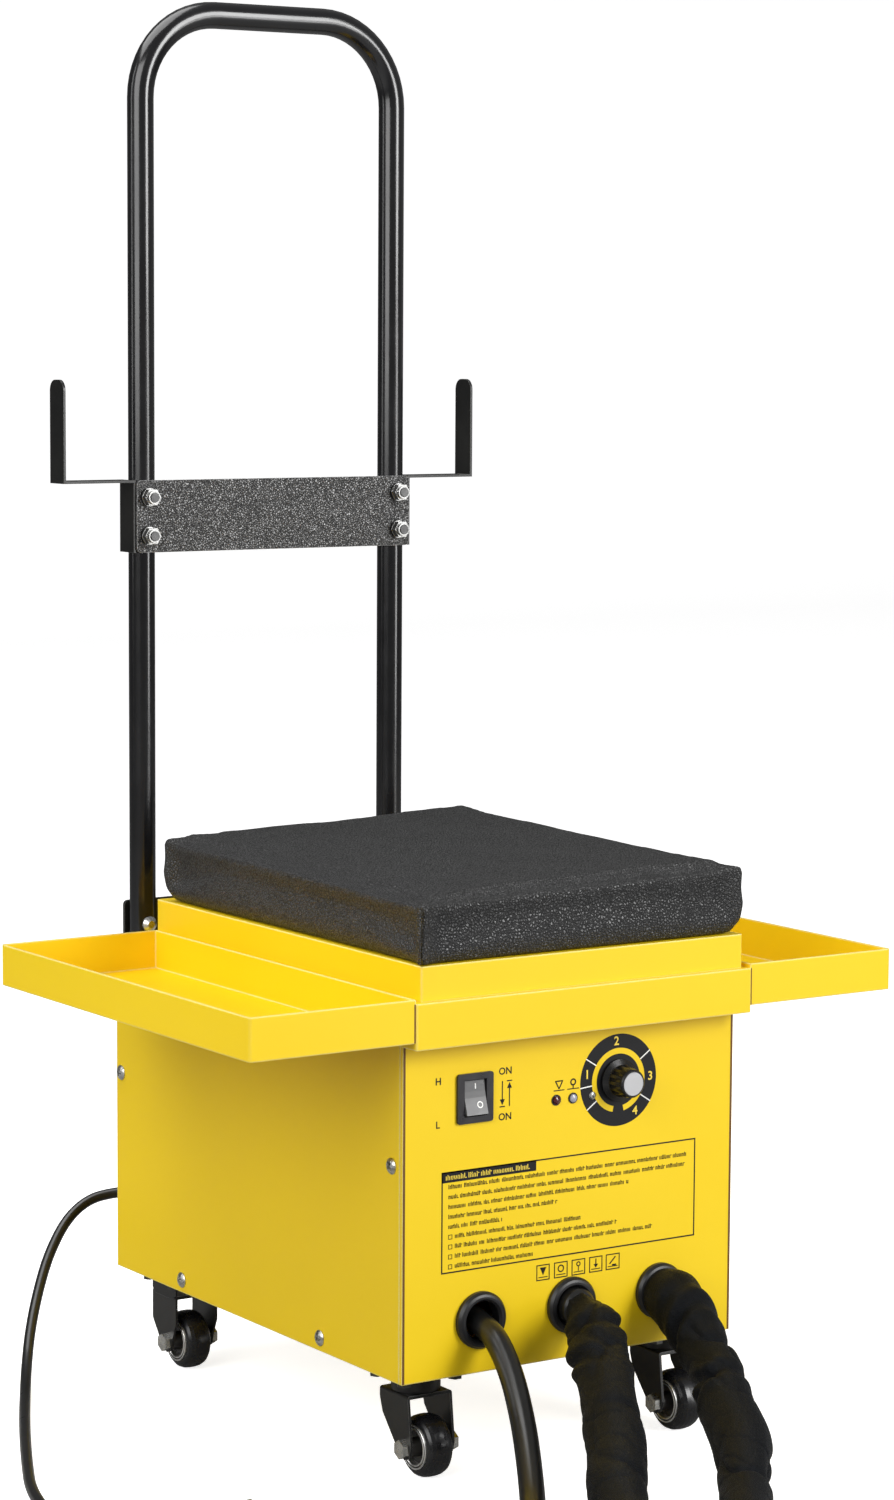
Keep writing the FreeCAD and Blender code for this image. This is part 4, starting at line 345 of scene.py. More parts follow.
def hammered_finish():
    """Hammered paint, as on the hanger plate: raised worms of grey over black, partly the paint's own mottle
    and partly painted glints on the bumps, with a painted highlight along its edges.
    """
    material, tree, shader = bare_finish("hammered_paint", metal=0.3)
    cells = grouped(tree, PEBBLES, Size=1.9, Warp=1.6)
    soft = grouped(tree, EDGE, Radius=0.7)
    # Partly painted highlight: the raised worms are painted grey over black, standing in partly for glints on
    # the bumps.
    tone = blend_colour(tree, span(tree, cells["Height"], 0.35, 1.0), grey(0.010), grey(0.20))
    # Painted highlight: the rounded edges are painted a pale grey.
    tone = blend_colour(tree, soft["Mask"], tone, grey(0.55))
    rough = span(tree, cells["Crease"], 0, 1, 0.28, 0.55)
    join_up(tree, shader, tone, rough, bump(tree, cells["Height"], 0.30, soft["Normal"]))
    return material


# Yarns of the gun hoses' sleeves, in metres on their map.
YARN_PITCH = 0.0016


def sleeve_finish():
    """Woven sleeve, on the piece's own map in metres: two sets of slanting yarns, each a sine wave, broken up
    by noise over soft folds drawn out along the hose."""
    material, tree, shader = bare_finish(
        "woven_sleeve",
        Sheen_Weight=0.01,
        Sheen_Roughness=0.4,
        Specular_IOR_Level=0.16,
        Specular_Tint=(0.78, 0.86, 1, 1),
    )
    place = node(tree, "ShaderNodeUVMap", uv_map="cloth").outputs[0]
    parts = split(tree, place)
    turns = 2 * math.pi / YARN_PITCH
    rising, falling = (
        maths(tree, "SINE", maths(tree, "MULTIPLY", maths(tree, way, parts[0], parts[1]), turns))
        for way in ("ADD", "SUBTRACT")
    )
    yarns = maths(tree, "MAXIMUM", rising, falling)
    uneven = noise(tree, place, 700.0, 3.0, 0.7)
    drawn = vector_maths(tree, "MULTIPLY", place, (0.45, 1.0, 1.0))
    folds = noise(tree, drawn, 90.0, 3.0, 0.5, 1.0)
    height = maths(tree, "ADD", maths(tree, "MULTIPLY", yarns, 0.35), uneven)
    # Painted highlight: the yarn tops are painted lighter, as glints on the lit weave.
    tone = blend_colour(tree, span(tree, height, 0.72, 1.05), grey(0.0010), grey(0.006))
    rough = span(tree, uneven, 0.35, 0.65, 0.30, 0.62)
    join_up(tree, shader, tone, rough, bump(tree, height, 0.55, bump(tree, folds, 1.3)))
    return material


def radius_from(tree, centre, first, second):
    """Distance from an axis through a centre, from the two coordinates square to it."""
    parts = split(tree, vector_maths(tree, "SUBTRACT", object_place(tree), tuple(centre)))
    return slant(tree, parts[first], parts[second])


# Inner and outer radius of the two bright rings on a rim.
RIM_RINGS = ((0.0131, 0.0148), (0.0160, 0.0175))


def rim_finish(label):
    """Dark plastic with two bright rings on the rim's lips, round this wheel's own axle."""
    low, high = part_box(label)
    material, tree, shader = bare_finish(label + "_finish")
    radius = radius_from(tree, (np.array(low) + np.array(high)) / 2, 1, 2)
    rings = maths(tree, "MAXIMUM", *(band_mask(tree, radius, *ring) for ring in RIM_RINGS))
    texture = grouped(tree, GRAIN, Grain_Size=0.3, Patch_Size=8.0)
    dark = blend_colour(tree, texture["Patch"], (0.016, 0.015, 0.014), (0.032, 0.030, 0.027))
    tone = blend_colour(tree, rings, dark, (0.95, 0.94, 0.91))
    rough = span(tree, texture["Patch"], 0, 1, 0.26, 0.42)
    join_up(tree, shader, tone, rough, bump(tree, texture["Height"], 0.004), rings)
    return material


# Height at which a caster's zinc plate starts, and how fast the one finish gives way to the other.
PLATE_FOOT = 0.0772
PLATE_CHANGE = 0.0004


def caster_finish(label):
    """Zinc on the plate under the cabinet, satin black on all below it."""
    material, tree, shader = bare_finish(label + "_finish")
    level = split(tree, object_place(tree))[2]
    plate = span(tree, level, PLATE_FOOT, PLATE_FOOT + PLATE_CHANGE)
    texture = grouped(tree, GRAIN, Grain_Size=0.4, Patch_Size=9.0)
    black = blend_colour(tree, texture["Patch"], (0.006, 0.006, 0.005), (0.012, 0.011, 0.010))
    tone = blend_colour(tree, plate, black, (0.72, 0.71, 0.67))
    rough = span(tree, texture["Patch"], 0, 1, 0.28, 0.40)
    join_up(tree, shader, tone, rough, bump(tree, texture["Height"], 0.010), plate)
    return material


# The hanger's nuts: how far out they sit, the height midway between their rows and half the rows' distance.
NUT_OUT = 0.1227
NUT_LEVEL = 0.710
NUT_ROW = 0.016


def fastener_finish():
    """Zinc nuts on a dark washer, each painted darker in its middle and with a painted highlight along its
    edges.
    """
    material, tree, shader = bare_finish("nut_and_washer", metal=1.0)
    parts = split(tree, object_place(tree))
    across = maths(tree, "SUBTRACT", maths(tree, "ABSOLUTE", parts[0]), NUT_OUT)
    from_middle = maths(tree, "ABSOLUTE", maths(tree, "SUBTRACT", parts[2], NUT_LEVEL))
    radius = slant(tree, across, maths(tree, "SUBTRACT", from_middle, NUT_ROW))
    texture = grouped(tree, GRAIN, Grain_Size=0.3, Patch_Size=5.0)
    soft = grouped(tree, EDGE, Radius=0.5)
    tone = blend_colour(tree, texture["Patch"], grey(0.20), (0.34, 0.34, 0.33))
    # Painted highlight: the nuts' rounded edges are painted near white.
    tone = blend_colour(tree, soft["Mask"], tone, (0.85, 0.85, 0.83))
    # The middle of each nut is painted darker.
    tone = blend_colour(tree, span(tree, radius, 0.0040, 0.0043, 1.0, 0.0), tone, grey(0.06))
    tone = blend_colour(tree, span(tree, radius, 0.0074, 0.0076), tone, grey(0.03))
    rough = span(tree, texture["Patch"], 0, 1, 0.24, 0.40)
    join_up(tree, shader, tone, rough, bump(tree, texture["Height"], 0.006, soft["Normal"]))
    return material


def banded_finish(name, axis, pitch, deep, pale, rough, depth, metal=0.0):
    """Even bands across one axis: laminations, wire turns or plies; pitch in millimetres."""
    material, tree, shader = bare_finish(name, metal=metal)
    part = split(tree, object_place(tree))[axis]
    wave = maths(tree, "SINE", maths(tree, "MULTIPLY", part, 2 * math.pi / (pitch * MM)))
    texture = grouped(tree, GRAIN, Grain_Size=0.5, Patch_Size=25.0)
    mask = maths(tree, "MULTIPLY", span(tree, wave, -0.8, 0.8), span(tree, texture["Patch"], 0, 1, 0.6, 1.0))
    rough = span(tree, texture["Patch"], 0, 1, rough - 0.08, rough + 0.08)
    join_up(tree, shader, blend_colour(tree, mask, deep, pale), rough, bump(tree, mask, depth))
    return material


KNOB_CENTRE = (0.0433, FRONT, 0.2918)


def spun_finish():
    """Spun metal: fine rings round the knob's axis."""
    material, tree, shader = bare_finish("spun_aluminium", metal=1.0, Anisotropic=0.6)
    radius = radius_from(tree, KNOB_CENTRE, 0, 2)
    rings = noise(tree, node(tree, "ShaderNodeCombineXYZ", {0: radius}).outputs[0], 9000.0, 1.0)
    tone = blend_colour(tree, rings, (0.62, 0.62, 0.64), grey(0.95))
    join_up(tree, shader, tone, span(tree, rings, 0.3, 0.7, 0.28, 0.44), bump(tree, rings, 0.01))
    return material


def board_finish():
    """Green board with paler tracks on a square grid."""
    material, tree, shader = bare_finish("circuit_board")
    cells = {"Vector": object_place(tree), "Scale": 180.0}
    cells = node(tree, "ShaderNodeTexVoronoi", cells, feature="F1", distance="CHEBYCHEV").outputs["Distance"]
    tracks = span(tree, maths(tree, "PINGPONG", cells, 0.08), 0.02, 0.05)
    texture = grouped(tree, GRAIN, Grain_Size=0.4, Patch_Size=20.0)
    tone = blend_colour(tree, tracks, (0.010, 0.090, 0.035), (0.018, 0.15, 0.055))
    rough = span(tree, texture["Patch"], 0, 1, 0.3, 0.45)
    join_up(tree, shader, tone, rough, bump(tree, tracks, 0.02))
    return material


LEATHER = leather_finish()
SLEEVE = sleeve_finish()
PLYWOOD = banded_finish("birch_plywood", 2, 1.5, (0.30, 0.19, 0.10), (0.52, 0.38, 0.22), 0.62, 0.05)
IRON = banded_finish("core_laminations", 1, 0.7, (0.10, 0.10, 0.11), (0.22, 0.22, 0.23), 0.42, 0.06, 0.8)
WINDING = banded_finish("wound_copper", 2, 2.6, (0.30, 0.09, 0.03), (0.72, 0.30, 0.14), 0.34, 0.35, 0.9)

# Which CAD nodes wear each finish.
FINISHES = [
    (YELLOW, ["base_plate", "front_panel", "rear_panel", "left_side_panel", "right_side_panel"]),
    (YELLOW, ["top_cover", "left_tray", "right_tray", "seat_box"]),
    (PLYWOOD, ["seat_board"]),
    (TUBE_BLACK, ["handle_tube"]),
    (hammered_finish(), ["hanger_plate"]),
    (STEEL_BLACK, ["hook_brackets", "handle_stay", "front_left_fork", "front_right_fork"]),
    (fastener_finish(), ["hanger_fasteners"]),
    (ZINC, ["handle_bolts", "knob_shaft", "potentiometer"]),
    (ZINC, ["front_left_axle", "front_right_axle", "rear_axles"]),
    (BOLT_STEEL, ["caster_bolts"]),
    (RUBBER, ["grommets"]),
    (BEZEL, ["rocker_bezel"]),
    (ROCKER, ["rocker"]),
    (PLASTIC, ["knob", "indicator_lamps", "cord_gland", "mains_plug"]),
    (spun_finish(), ["knob_cap"]),
    (IRON, ["transformer_core"]),
    (WINDING, ["transformer_winding"]),
    (COPPER, ["copper_bars"]),
    (board_finish(), ["control_board"]),
    (SINK, ["power_module"]),
    (CLAMP, ["clamp_fixed_arm", "clamp_moving_arm"]),
    (GUN, ["gun_bodies"]),
    (BRASS, ["gun_chucks"]),
    (TRIGGER, ["gun_a_trigger", "gun_b_trigger"]),
]
for label in ("front_caster_mounts", "rear_caster_brackets"):
    FINISHES.append((caster_finish(label), [label]))
for wheel in ("front_left", "front_right", "rear_left", "rear_right"):
    FINISHES.append((TYRE, [wheel + "_tyre"]))
    FINISHES.append((rim_finish(wheel + "_rim"), [wheel + "_rim"]))

for material, labels in FINISHES:
    for label in labels:
        mesh = nodes[label].data
        mesh.materials.clear()
        mesh.materials.append(material)


# Meshes: surfaces worked out as grids, and flat prints.
def link(name, data):
    made = bpy.data.objects.new(name, data)
    bpy.context.scene.collection.objects.link(made)
    return made


def piece(name, points, faces, material, body="cabinet", crisp=40.0):
    """A closed mesh from its points and faces."""
    mesh = bpy.data.meshes.new(name)
    mesh.from_pydata(np.asarray(points, float).reshape(-1, 3).tolist(), [], faces)
    return settle(name, [mesh], material, body, crisp)


def settle(name, meshes, material, body="cabinet", crisp=40.0):
    """Joins meshes into one piece: doubles merged, faces turned outwards, smooth up to an angle."""
    work = bmesh.new()
    for mesh in meshes:
        work.from_mesh(mesh)
    bmesh.ops.remove_doubles(work, verts=work.verts, dist=1e-6)
    bmesh.ops.recalc_face_normals(work, faces=work.faces)
    mesh = bpy.data.meshes.new(name)
    work.to_mesh(mesh)
    work.free()
    mesh.shade_smooth()
    mesh.set_sharp_from_angle(angle=math.radians(crisp))
    mesh.materials.append(material)
    made = link(name, mesh)
    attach(made, body)
    return made


def grid_faces(rows, columns, round_rows=False, round_columns=False, caps=False):
    """Quads between the rows and columns of a grid of points; caps close its first and last row."""
    index = np.arange(rows * columns).reshape(rows, columns)
    if round_rows:
        index = np.vstack([index, index[:1]])
    if round_columns:
        index = np.hstack([index, index[:, :1]])
    quads = np.stack([index[:-1, :-1], index[1:, :-1], index[1:, 1:], index[:-1, 1:]], -1)
    faces = quads.reshape(-1, 4).tolist()
    if caps:
        faces.append(index[0, :columns][::-1].tolist())
        faces.append(index[-1, :columns].tolist())
    return faces


def turned_piece(name, profile, x, z, material, steps=48):
    """A profile of (y, radius) points carried once round a line along Y, with its ends capped."""
    profile = np.array(profile)
    angle = np.linspace(0, 2 * math.pi, steps, endpoint=False)
    grid = np.zeros((len(profile), steps, 3))
    grid[..., 0] = x + profile[:, 1:] * np.cos(angle)
    grid[..., 1] = profile[:, :1]
    grid[..., 2] = z + profile[:, 1:] * np.sin(angle)
    faces = grid_faces(len(profile), steps, round_columns=True, caps=True)
    return piece(name, grid, faces, material)


# Cords: each route repeats the part's own control points, in metres from the cabinet's corner.
def in_frame(route):
    return np.array(route) + CORNER


EARTH_ROUTE = in_frame([
    (0.070, 0.034, 0.041),
    (0.070, -0.010, 0.041),
    (0.069, -0.042, 0.015),
    (0.058, -0.076, -0.017),
    (0.042, -0.108, -0.042),
    (0.022, -0.142, -0.062),
    (-0.008, -0.184, -0.0705),
    (-0.054, -0.232, -0.0705),
    (-0.124, -0.268, -0.0705),
    (-0.208, -0.270, -0.0705),
    (-0.284, -0.232, -0.0705),
    (-0.336, -0.165, -0.0705),
    (-0.352, -0.082, -0.0705),
    (-0.346, 0.005, -0.069),
    (-0.338, 0.092, -0.069),
])
HOSE_A_ROUTE = in_frame([
    (0.153, -0.020, 0.038),
    (0.147, -0.040, 0.030),
    (0.133, -0.066, 0.021),
    (0.116, -0.100, 0.005),
    (0.096, -0.138, -0.017),
    (0.071, -0.176, -0.038),
    (0.043, -0.220, -0.056),
    (0.010, -0.268, -0.060),
    (-0.048, -0.330, -0.060),
    (-0.136, -0.372, -0.060),
    (-0.238, -0.376, -0.060),
    (-0.334, -0.340, -0.060),
    (-0.406, -0.268, -0.060),
    (-0.440, -0.174, -0.060),
    (-0.446, -0.072, -0.060),
    (-0.436, 0.030, -0.060),
    (-0.420, 0.132, -0.060),
])
HOSE_B_ROUTE = in_frame([
    (0.242, -0.020, 0.033),
    (0.242, -0.040, 0.021),
    (0.236, -0.066, 0.006),
    (0.223, -0.102, -0.009),
    (0.205, -0.142, -0.027),
    (0.181, -0.184, -0.045),
    (0.150, -0.228, -0.057),
    (0.110, -0.282, -0.060),
    (0.036, -0.366, -0.060),
    (-0.066, -0.432, -0.060),
    (-0.188, -0.466, -0.060),
    (-0.312, -0.454, -0.060),
    (-0.420, -0.392, -0.060),
    (-0.500, -0.298, -0.060),
    (-0.538, -0.182, -0.060),
    (-0.544, -0.062, -0.060),
])
MAINS_ROUTE = in_frame([
    (0.054, 0.459, 0.050),
    (0.052, 0.473, 0.050),
    (0.042, 0.488, 0.0495),
    (0.026, 0.498, 0.048),
    (0.005, 0.503, 0.044),
    (-0.018, 0.500, 0.030),
    (-0.042, 0.486, 0.006),
    (-0.062, 0.467, -0.018),
    (-0.084, 0.440, -0.044),
    (-0.103, 0.410, -0.066),
    (-0.128, 0.364, -0.0755),
    (-0.164, 0.295, -0.0755),
    (-0.207, 0.208, -0.0755),
    (-0.247, 0.122, -0.0755),
    (-0.263, 0.036, -0.0755),
    (-0.265, -0.040, -0.0755),
    (-0.265, -0.108, -0.0755),
])

# Widths; the mains cord's length is the way to its coil and the coil.
EARTH_WIDE = 0.019
HOSE_WIDE = 0.040
MAINS_WIDE = 0.009

# Coil of the mains cord: half turns that draw in, climb a layer and open out again.
COIL_OUTER = 0.044
COIL_STEP = 0.0049
COIL_HALF_TURNS = 5
COIL_LOW = 0.0045
COIL_HIGH = 0.0143
COIL_TAIL = 0.009
POINTS_IN_HALF_TURN = 6


def coil_route(start):
    """Half turns to the left; each control point stands out so that the smooth line keeps the radius."""
    radii = [COIL_OUTER - COIL_STEP * n for n in range(COIL_HALF_TURNS)]
    radii = radii + [COIL_OUTER - COIL_STEP * COIL_HALF_TURNS] + radii[::-1]
    step = math.pi / POINTS_IN_HALF_TURN
    points = []
    place, heading = np.array(start[:2]), -math.pi / 2
    for number, radius in enumerate(radii):
        climbs = number == COIL_HALF_TURNS
        centre = place + radius * np.array([-math.sin(heading), math.cos(heading)])
        for k in range(POINTS_IN_HALF_TURN):
            angle = heading - math.pi / 2 + (k + 0.5) * step
            share = (k + 0.5) / POINTS_IN_HALF_TURN
            level = COIL_LOW if number < COIL_HALF_TURNS else COIL_HIGH
            if climbs:
                level = COIL_LOW + (COIL_HIGH - COIL_LOW) * share
            out = radius / math.cos(step / 2)
            points.append((*(centre + out * np.array([math.cos(angle), math.sin(angle)])), level))
        place = 2 * centre - place
        heading += math.pi
    points.append((*place, COIL_HIGH))
    points.append((place[0], place[1] + COIL_TAIL, COIL_HIGH))
    return np.array(points)


def smooth_curve(name, route, width=0.0):
    """One spline of the second degree through the route's control points, round in section."""
    curve = bpy.data.curves.new(name, "CURVE")
    curve.dimensions = "3D"
    curve.bevel_depth = width / 2
    curve.bevel_resolution = 7
    curve.resolution_u = 12
    curve.use_fill_caps = True
    spline = curve.splines.new("NURBS")
    spline.points.add(len(route) - 1)
    for point, place in zip(spline.points, route):
        point.co = (*place, 1)
    spline.order_u = 3
    spline.use_endpoint_u = True
    return curve


def smooth_line(route, step):
    """Points an even step apart on the smooth line of a route, and how far along each lies."""
    loose = bpy.data.objects.new("line", smooth_curve("line", route))
    mesh = bpy.data.meshes.new_from_object(loose)
    points = np.zeros(len(mesh.vertices) * 3)
    mesh.vertices.foreach_get("co", points)
    points = points.reshape(-1, 3)
    reach = np.concatenate([[0], np.cumsum(np.linalg.norm(np.diff(points, axis=0), axis=1))])
    along = np.linspace(0, reach[-1], max(8, int(reach[-1] / step)))
    line = np.stack([np.interp(along, reach, points[:, k]) for k in range(3)], -1)
    bpy.data.objects.remove(loose)
    return line, along


def round_line(line, radius):
    """A grid round a line: each ring stands square to it, its first point to the line's left."""
    ahead = np.gradient(line, axis=0)
    ahead /= np.linalg.norm(ahead, axis=1, keepdims=True)
    side = np.cross(ahead, (0, 0, 1))
    side /= np.linalg.norm(side, axis=1, keepdims=True)
    top = np.cross(side, ahead)
    columns = radius.shape[1]
    angle = np.linspace(0, 2 * math.pi, columns, endpoint=False)
    way = np.cos(angle)[None, :, None] * side[:, None] + np.sin(angle)[None, :, None] * top[:, None]
    return line[:, None] + radius[..., None] * way


def lead(name, route, width, material):
    made = link(name, smooth_curve(name, route, width))
    made.data.materials.append(material)
    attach(made, "cabinet")
    return made


earth_lead = lead("earth_lead", EARTH_ROUTE, EARTH_WIDE, CABLE)
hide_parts("earth_cable")

mains_points = np.vstack([MAINS_ROUTE, coil_route(MAINS_ROUTE[-1])])
mains_lead = lead("mains_lead", mains_points, MAINS_WIDE, CABLE)
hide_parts("mains_cord", "mains_coil")

# The bend relief where the mains cord leaves its gland: ribs on a taper, which starts at RELIEF_ROOT times
# the cord's radius and loses RELIEF_TAPER times that radius.
RELIEF_LONG = 0.030
RELIEF_ROOT = 1.5
RELIEF_TAPER = 0.42
RELIEF_RIBS = 6
RIB_DEEP = 0.0005
RELIEF_STEP = 0.0004
RELIEF_COLUMNS = 32


def bend_relief():
    """Rings round the start of the cord; the ribs are the waves of a cosine."""
    line, along = smooth_line(MAINS_ROUTE, RELIEF_STEP)
    keep = along <= RELIEF_LONG
    line, share = line[keep], along[keep] / RELIEF_LONG
    taper = MAINS_WIDE / 2 * (RELIEF_ROOT - RELIEF_TAPER * share)
    ribs = RIB_DEEP * np.cos(2 * math.pi * RELIEF_RIBS * share)
    radius = np.repeat((taper + ribs)[:, None], RELIEF_COLUMNS, axis=1)
    faces = grid_faces(*radius.shape, round_columns=True, caps=True)
    return piece("mains_relief", round_line(line, radius), faces, PLASTIC)


mains_relief = bend_relief()

# Sleeves of the two gun hoses. Each crease is (way along, depth, width, lean, side, share all round) in
# millimetres and degrees; side 0 is the camera's left near the panel, 90 the top and 180 the right.
SLEEVE_STEP = 0.0022
SLEEVE_COLUMNS = 80
HOSE_A_CREASES = [
    (17, 3.4, 3.5, 14, 160, 0.55),
    (46, 6.0, 4.5, -12, 180, 0.40),
    (86, 5.0, 5.0, 12, 0, 0.25),
    (70, 2.4, 5.0, 20, 60, 0.2),
]
HOSE_B_CREASES = [
    (34, 2.8, 4.0, 14, 170, 0.4),
    (56, 5.0, 4.5, -16, 0, 0.4),
    (112, 4.4, 5.0, 12, 0, 0.3),
    (128, 4.8, 4.5, -10, 20, 0.35),
]
# Radius of the neck where the sleeve is gathered, where it starts to open and where it is full, and its
# full radius. Ways are measured out from the panel's face.
HOSE_A_NECK = (0.0134, 0.012, 0.046, 0.0226)
HOSE_B_NECK = (0.0180, -0.004, 0.016, 0.0214)
# The hoses' holes: their height, and how far in and out of the panel a sleeve runs straight there.
HOLE_LEVEL = CORNER[2] + 0.041
SLEEVE_INSIDE = 0.012
SLEEVE_STRAIGHT = 0.006
# Waves on a sleeve, as (count, shortest, longest, most turns of lean round the hose), lengths in metres.
SWELL_WAVES = (5, 0.07, 0.20, 2)
DEPTH_WAVES = (5, 0.07, 0.20, 0)
VALLEY_WAVES = (4, 0.085, 0.190, 2)
FURROW_WAVES = (5, 0.035, 0.080, 2)
SWELL = 0.0012
# Valleys and the smaller furrows: millimetres deep, and how steeply their sides fall to the line.
VALLEY_DEEP, VALLEY_SHARP = 4.0, 3.4
FURROW_DEEP, FURROW_SHARP = 1.2, 3.0
# A neck longer than this is gathered in pleats of this depth.
LONG_NECK = 0.03
PLEAT_DEEP = 0.0018
# The lip beside a crease, in the crease's own widths and depths.
LIP_AWAY = 2.2
LIP_HIGH = 0.4
SLEEVE_LEAST = 0.0128
SLEEVE_MOST = 0.62 * HOSE_WIDE
FLOOR_GAP = 0.0004


def plane_waves(s, angle, draw, count, short, long, turns):
    """Smooth heights of about one, the same after a turn round the hose: a sum of leaning sine waves."""
    total = 0
    for _ in range(count):
        wave = draw.uniform(short, long)
        lean = draw.integers(-turns, turns + 1)
        total = total + np.sin(2 * math.pi * s / wave + lean * angle + draw.uniform(0, 2 * math.pi))
    return total * math.sqrt(2 / count)


def sleeve_radius(along, hand, seed, neck):
    """Radius over length and angle: a gathered neck that opens to the full sleeve, less the valleys. Valleys
    run where sums of sine waves cross zero, sharp at the line and soft beside it, and one by one where the
    photo shows a pinch."""
    draw = np.random.default_rng(seed)
    angle = np.linspace(0, 2 * math.pi, SLEEVE_COLUMNS, endpoint=False)[None, :]
    s = along[:, None] - SLEEVE_INSIDE
    neck_radius, neck_start, neck_end, full = neck
    opening = np.clip((s - neck_start) / (neck_end - neck_start), 0, 1)
    opening = opening * opening * (3 - 2 * opening)
    radius = neck_radius + (full - neck_radius) * opening + 0 * angle
    radius = radius + SWELL * opening * plane_waves(s, angle, draw, *SWELL_WAVES)
    where = np.clip(0.75 + 0.45 * plane_waves(s, 0 * angle, draw, *DEPTH_WAVES), 0.2, 1.4)
    valleys = np.exp(-VALLEY_SHARP * np.abs(plane_waves(s, angle, draw, *VALLEY_WAVES)))
    furrows = np.exp(-FURROW_SHARP * np.abs(plane_waves(s, angle, draw, *FURROW_WAVES)))
    radius = radius - opening * MM * (VALLEY_DEEP * where * valleys + FURROW_DEEP * where * furrows)
    pleats = (1 - opening) * np.abs(np.sin(3.5 * angle + 40 * s))
    radius = radius - PLEAT_DEEP * pleats * (neck_end > LONG_NECK)
    for way, depth, width, lean, side, around in hand:
        from_side = angle - math.radians(side)
        off = np.abs(s - way * MM - lean * MM * np.sin(from_side))
        hold = around + (1 - around) * np.clip(np.cos(from_side), 0, 1) ** 1.5
        pinch = np.exp(-((off / (width * MM)) ** 1.2))
        lip = np.exp(-(((off - LIP_AWAY * width * MM) / (width * MM)) ** 2))
        radius = radius - depth * MM * hold * pinch
        radius = radius + LIP_HIGH * depth * MM * hold * lip
    return np.clip(radius, SLEEVE_LEAST, SLEEVE_MOST)


def hose_sleeve(name, route, hand, seed, neck, core_x):
    """The woven sleeve as one closed tube, flattened where it lies on the floor, with its cloth's map."""
    through = [(core_x, y, HOLE_LEVEL) for y in (FRONT + SLEEVE_INSIDE, FRONT - SLEEVE_STRAIGHT)]
    line, along = smooth_line(np.vstack([through, route]), SLEEVE_STEP)
    radius = sleeve_radius(along, hand, seed, neck)
    grid = round_line(line, radius)
    grid[..., 2] = np.maximum(grid[..., 2], FLOOR + FLOOR_GAP)
    rows, columns = radius.shape
    faces = grid_faces(rows, columns, round_columns=True, caps=True)
    made = piece(name, grid, faces, SLEEVE, crisp=80.0)
    mesh = made.data
    uv = mesh.uv_layers.new(name="cloth")
    corners = np.zeros(len(mesh.loops), int)
    mesh.loops.foreach_get("vertex_index", corners)
    row, column = corners // columns, corners % columns
    starts = np.zeros(len(mesh.polygons), int)
    counts = np.zeros(len(mesh.polygons), int)
    mesh.polygons.foreach_get("loop_start", starts)
    mesh.polygons.foreach_get("loop_total", counts)
    owner = np.repeat(np.arange(len(starts)), counts)
    last = np.zeros(len(starts), bool)
    np.logical_or.at(last, owner, column == columns - 1)
    column = np.where(last[owner] & (column == 0), columns, column)
    around = column / columns * math.pi * HOSE_WIDE
    uv.data.foreach_set("uv", np.stack([along[row], around], -1).ravel())
    return made, line


# The bare cable in a hose's hole: its radius, how much its ends are softened, and how far out and in it goes.
CORE_RADIUS = 0.0145
CORE_EDGE = 0.002
CORE_OUT = 0.014
CORE_IN = 0.034


def hose_core(name, x):
    """The bare cable inside the grommet: a plain round with softened ends, back to its lug."""
    front, back, edge = FRONT - CORE_OUT, FRONT + CORE_IN, CORE_RADIUS - CORE_EDGE
    profile = [(front, edge), (front + CORE_EDGE, CORE_RADIUS), (back - CORE_EDGE, CORE_RADIUS), (back, edge)]
    return turned_piece(name, profile, x, HOLE_LEVEL, CABLE)


def hose(letter, route, hand, seed, neck, x):
    made, line = hose_sleeve("hose_sleeve_" + letter, route, hand, seed, neck, x)
    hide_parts("gun_hose_" + letter)
    core = hose_core("hose_core_" + letter, x)


HOLE_A_X = 0.0
HOLE_B_X = 0.084
hose("a", HOSE_A_ROUTE, HOSE_A_CREASES, 11, HOSE_A_NECK, HOLE_A_X)
hose("b", HOSE_B_ROUTE, HOSE_B_CREASES, 23, HOSE_B_NECK, HOLE_B_X)

# Seat cushion: a slightly smaller block with bevelled edges, blown up as cloth by no more than a cap. Its
# points within CUSHION_HELD of the underside stay where they are.
CUSHION_GRID = 0.005
CUSHION_CAP = 0.006
CUSHION_SHRINK = (0.0035, 0.0035, 0.004)
CUSHION_BEVEL = 0.006
CUSHION_HELD = 0.004
CLOTH_FRAMES = 20


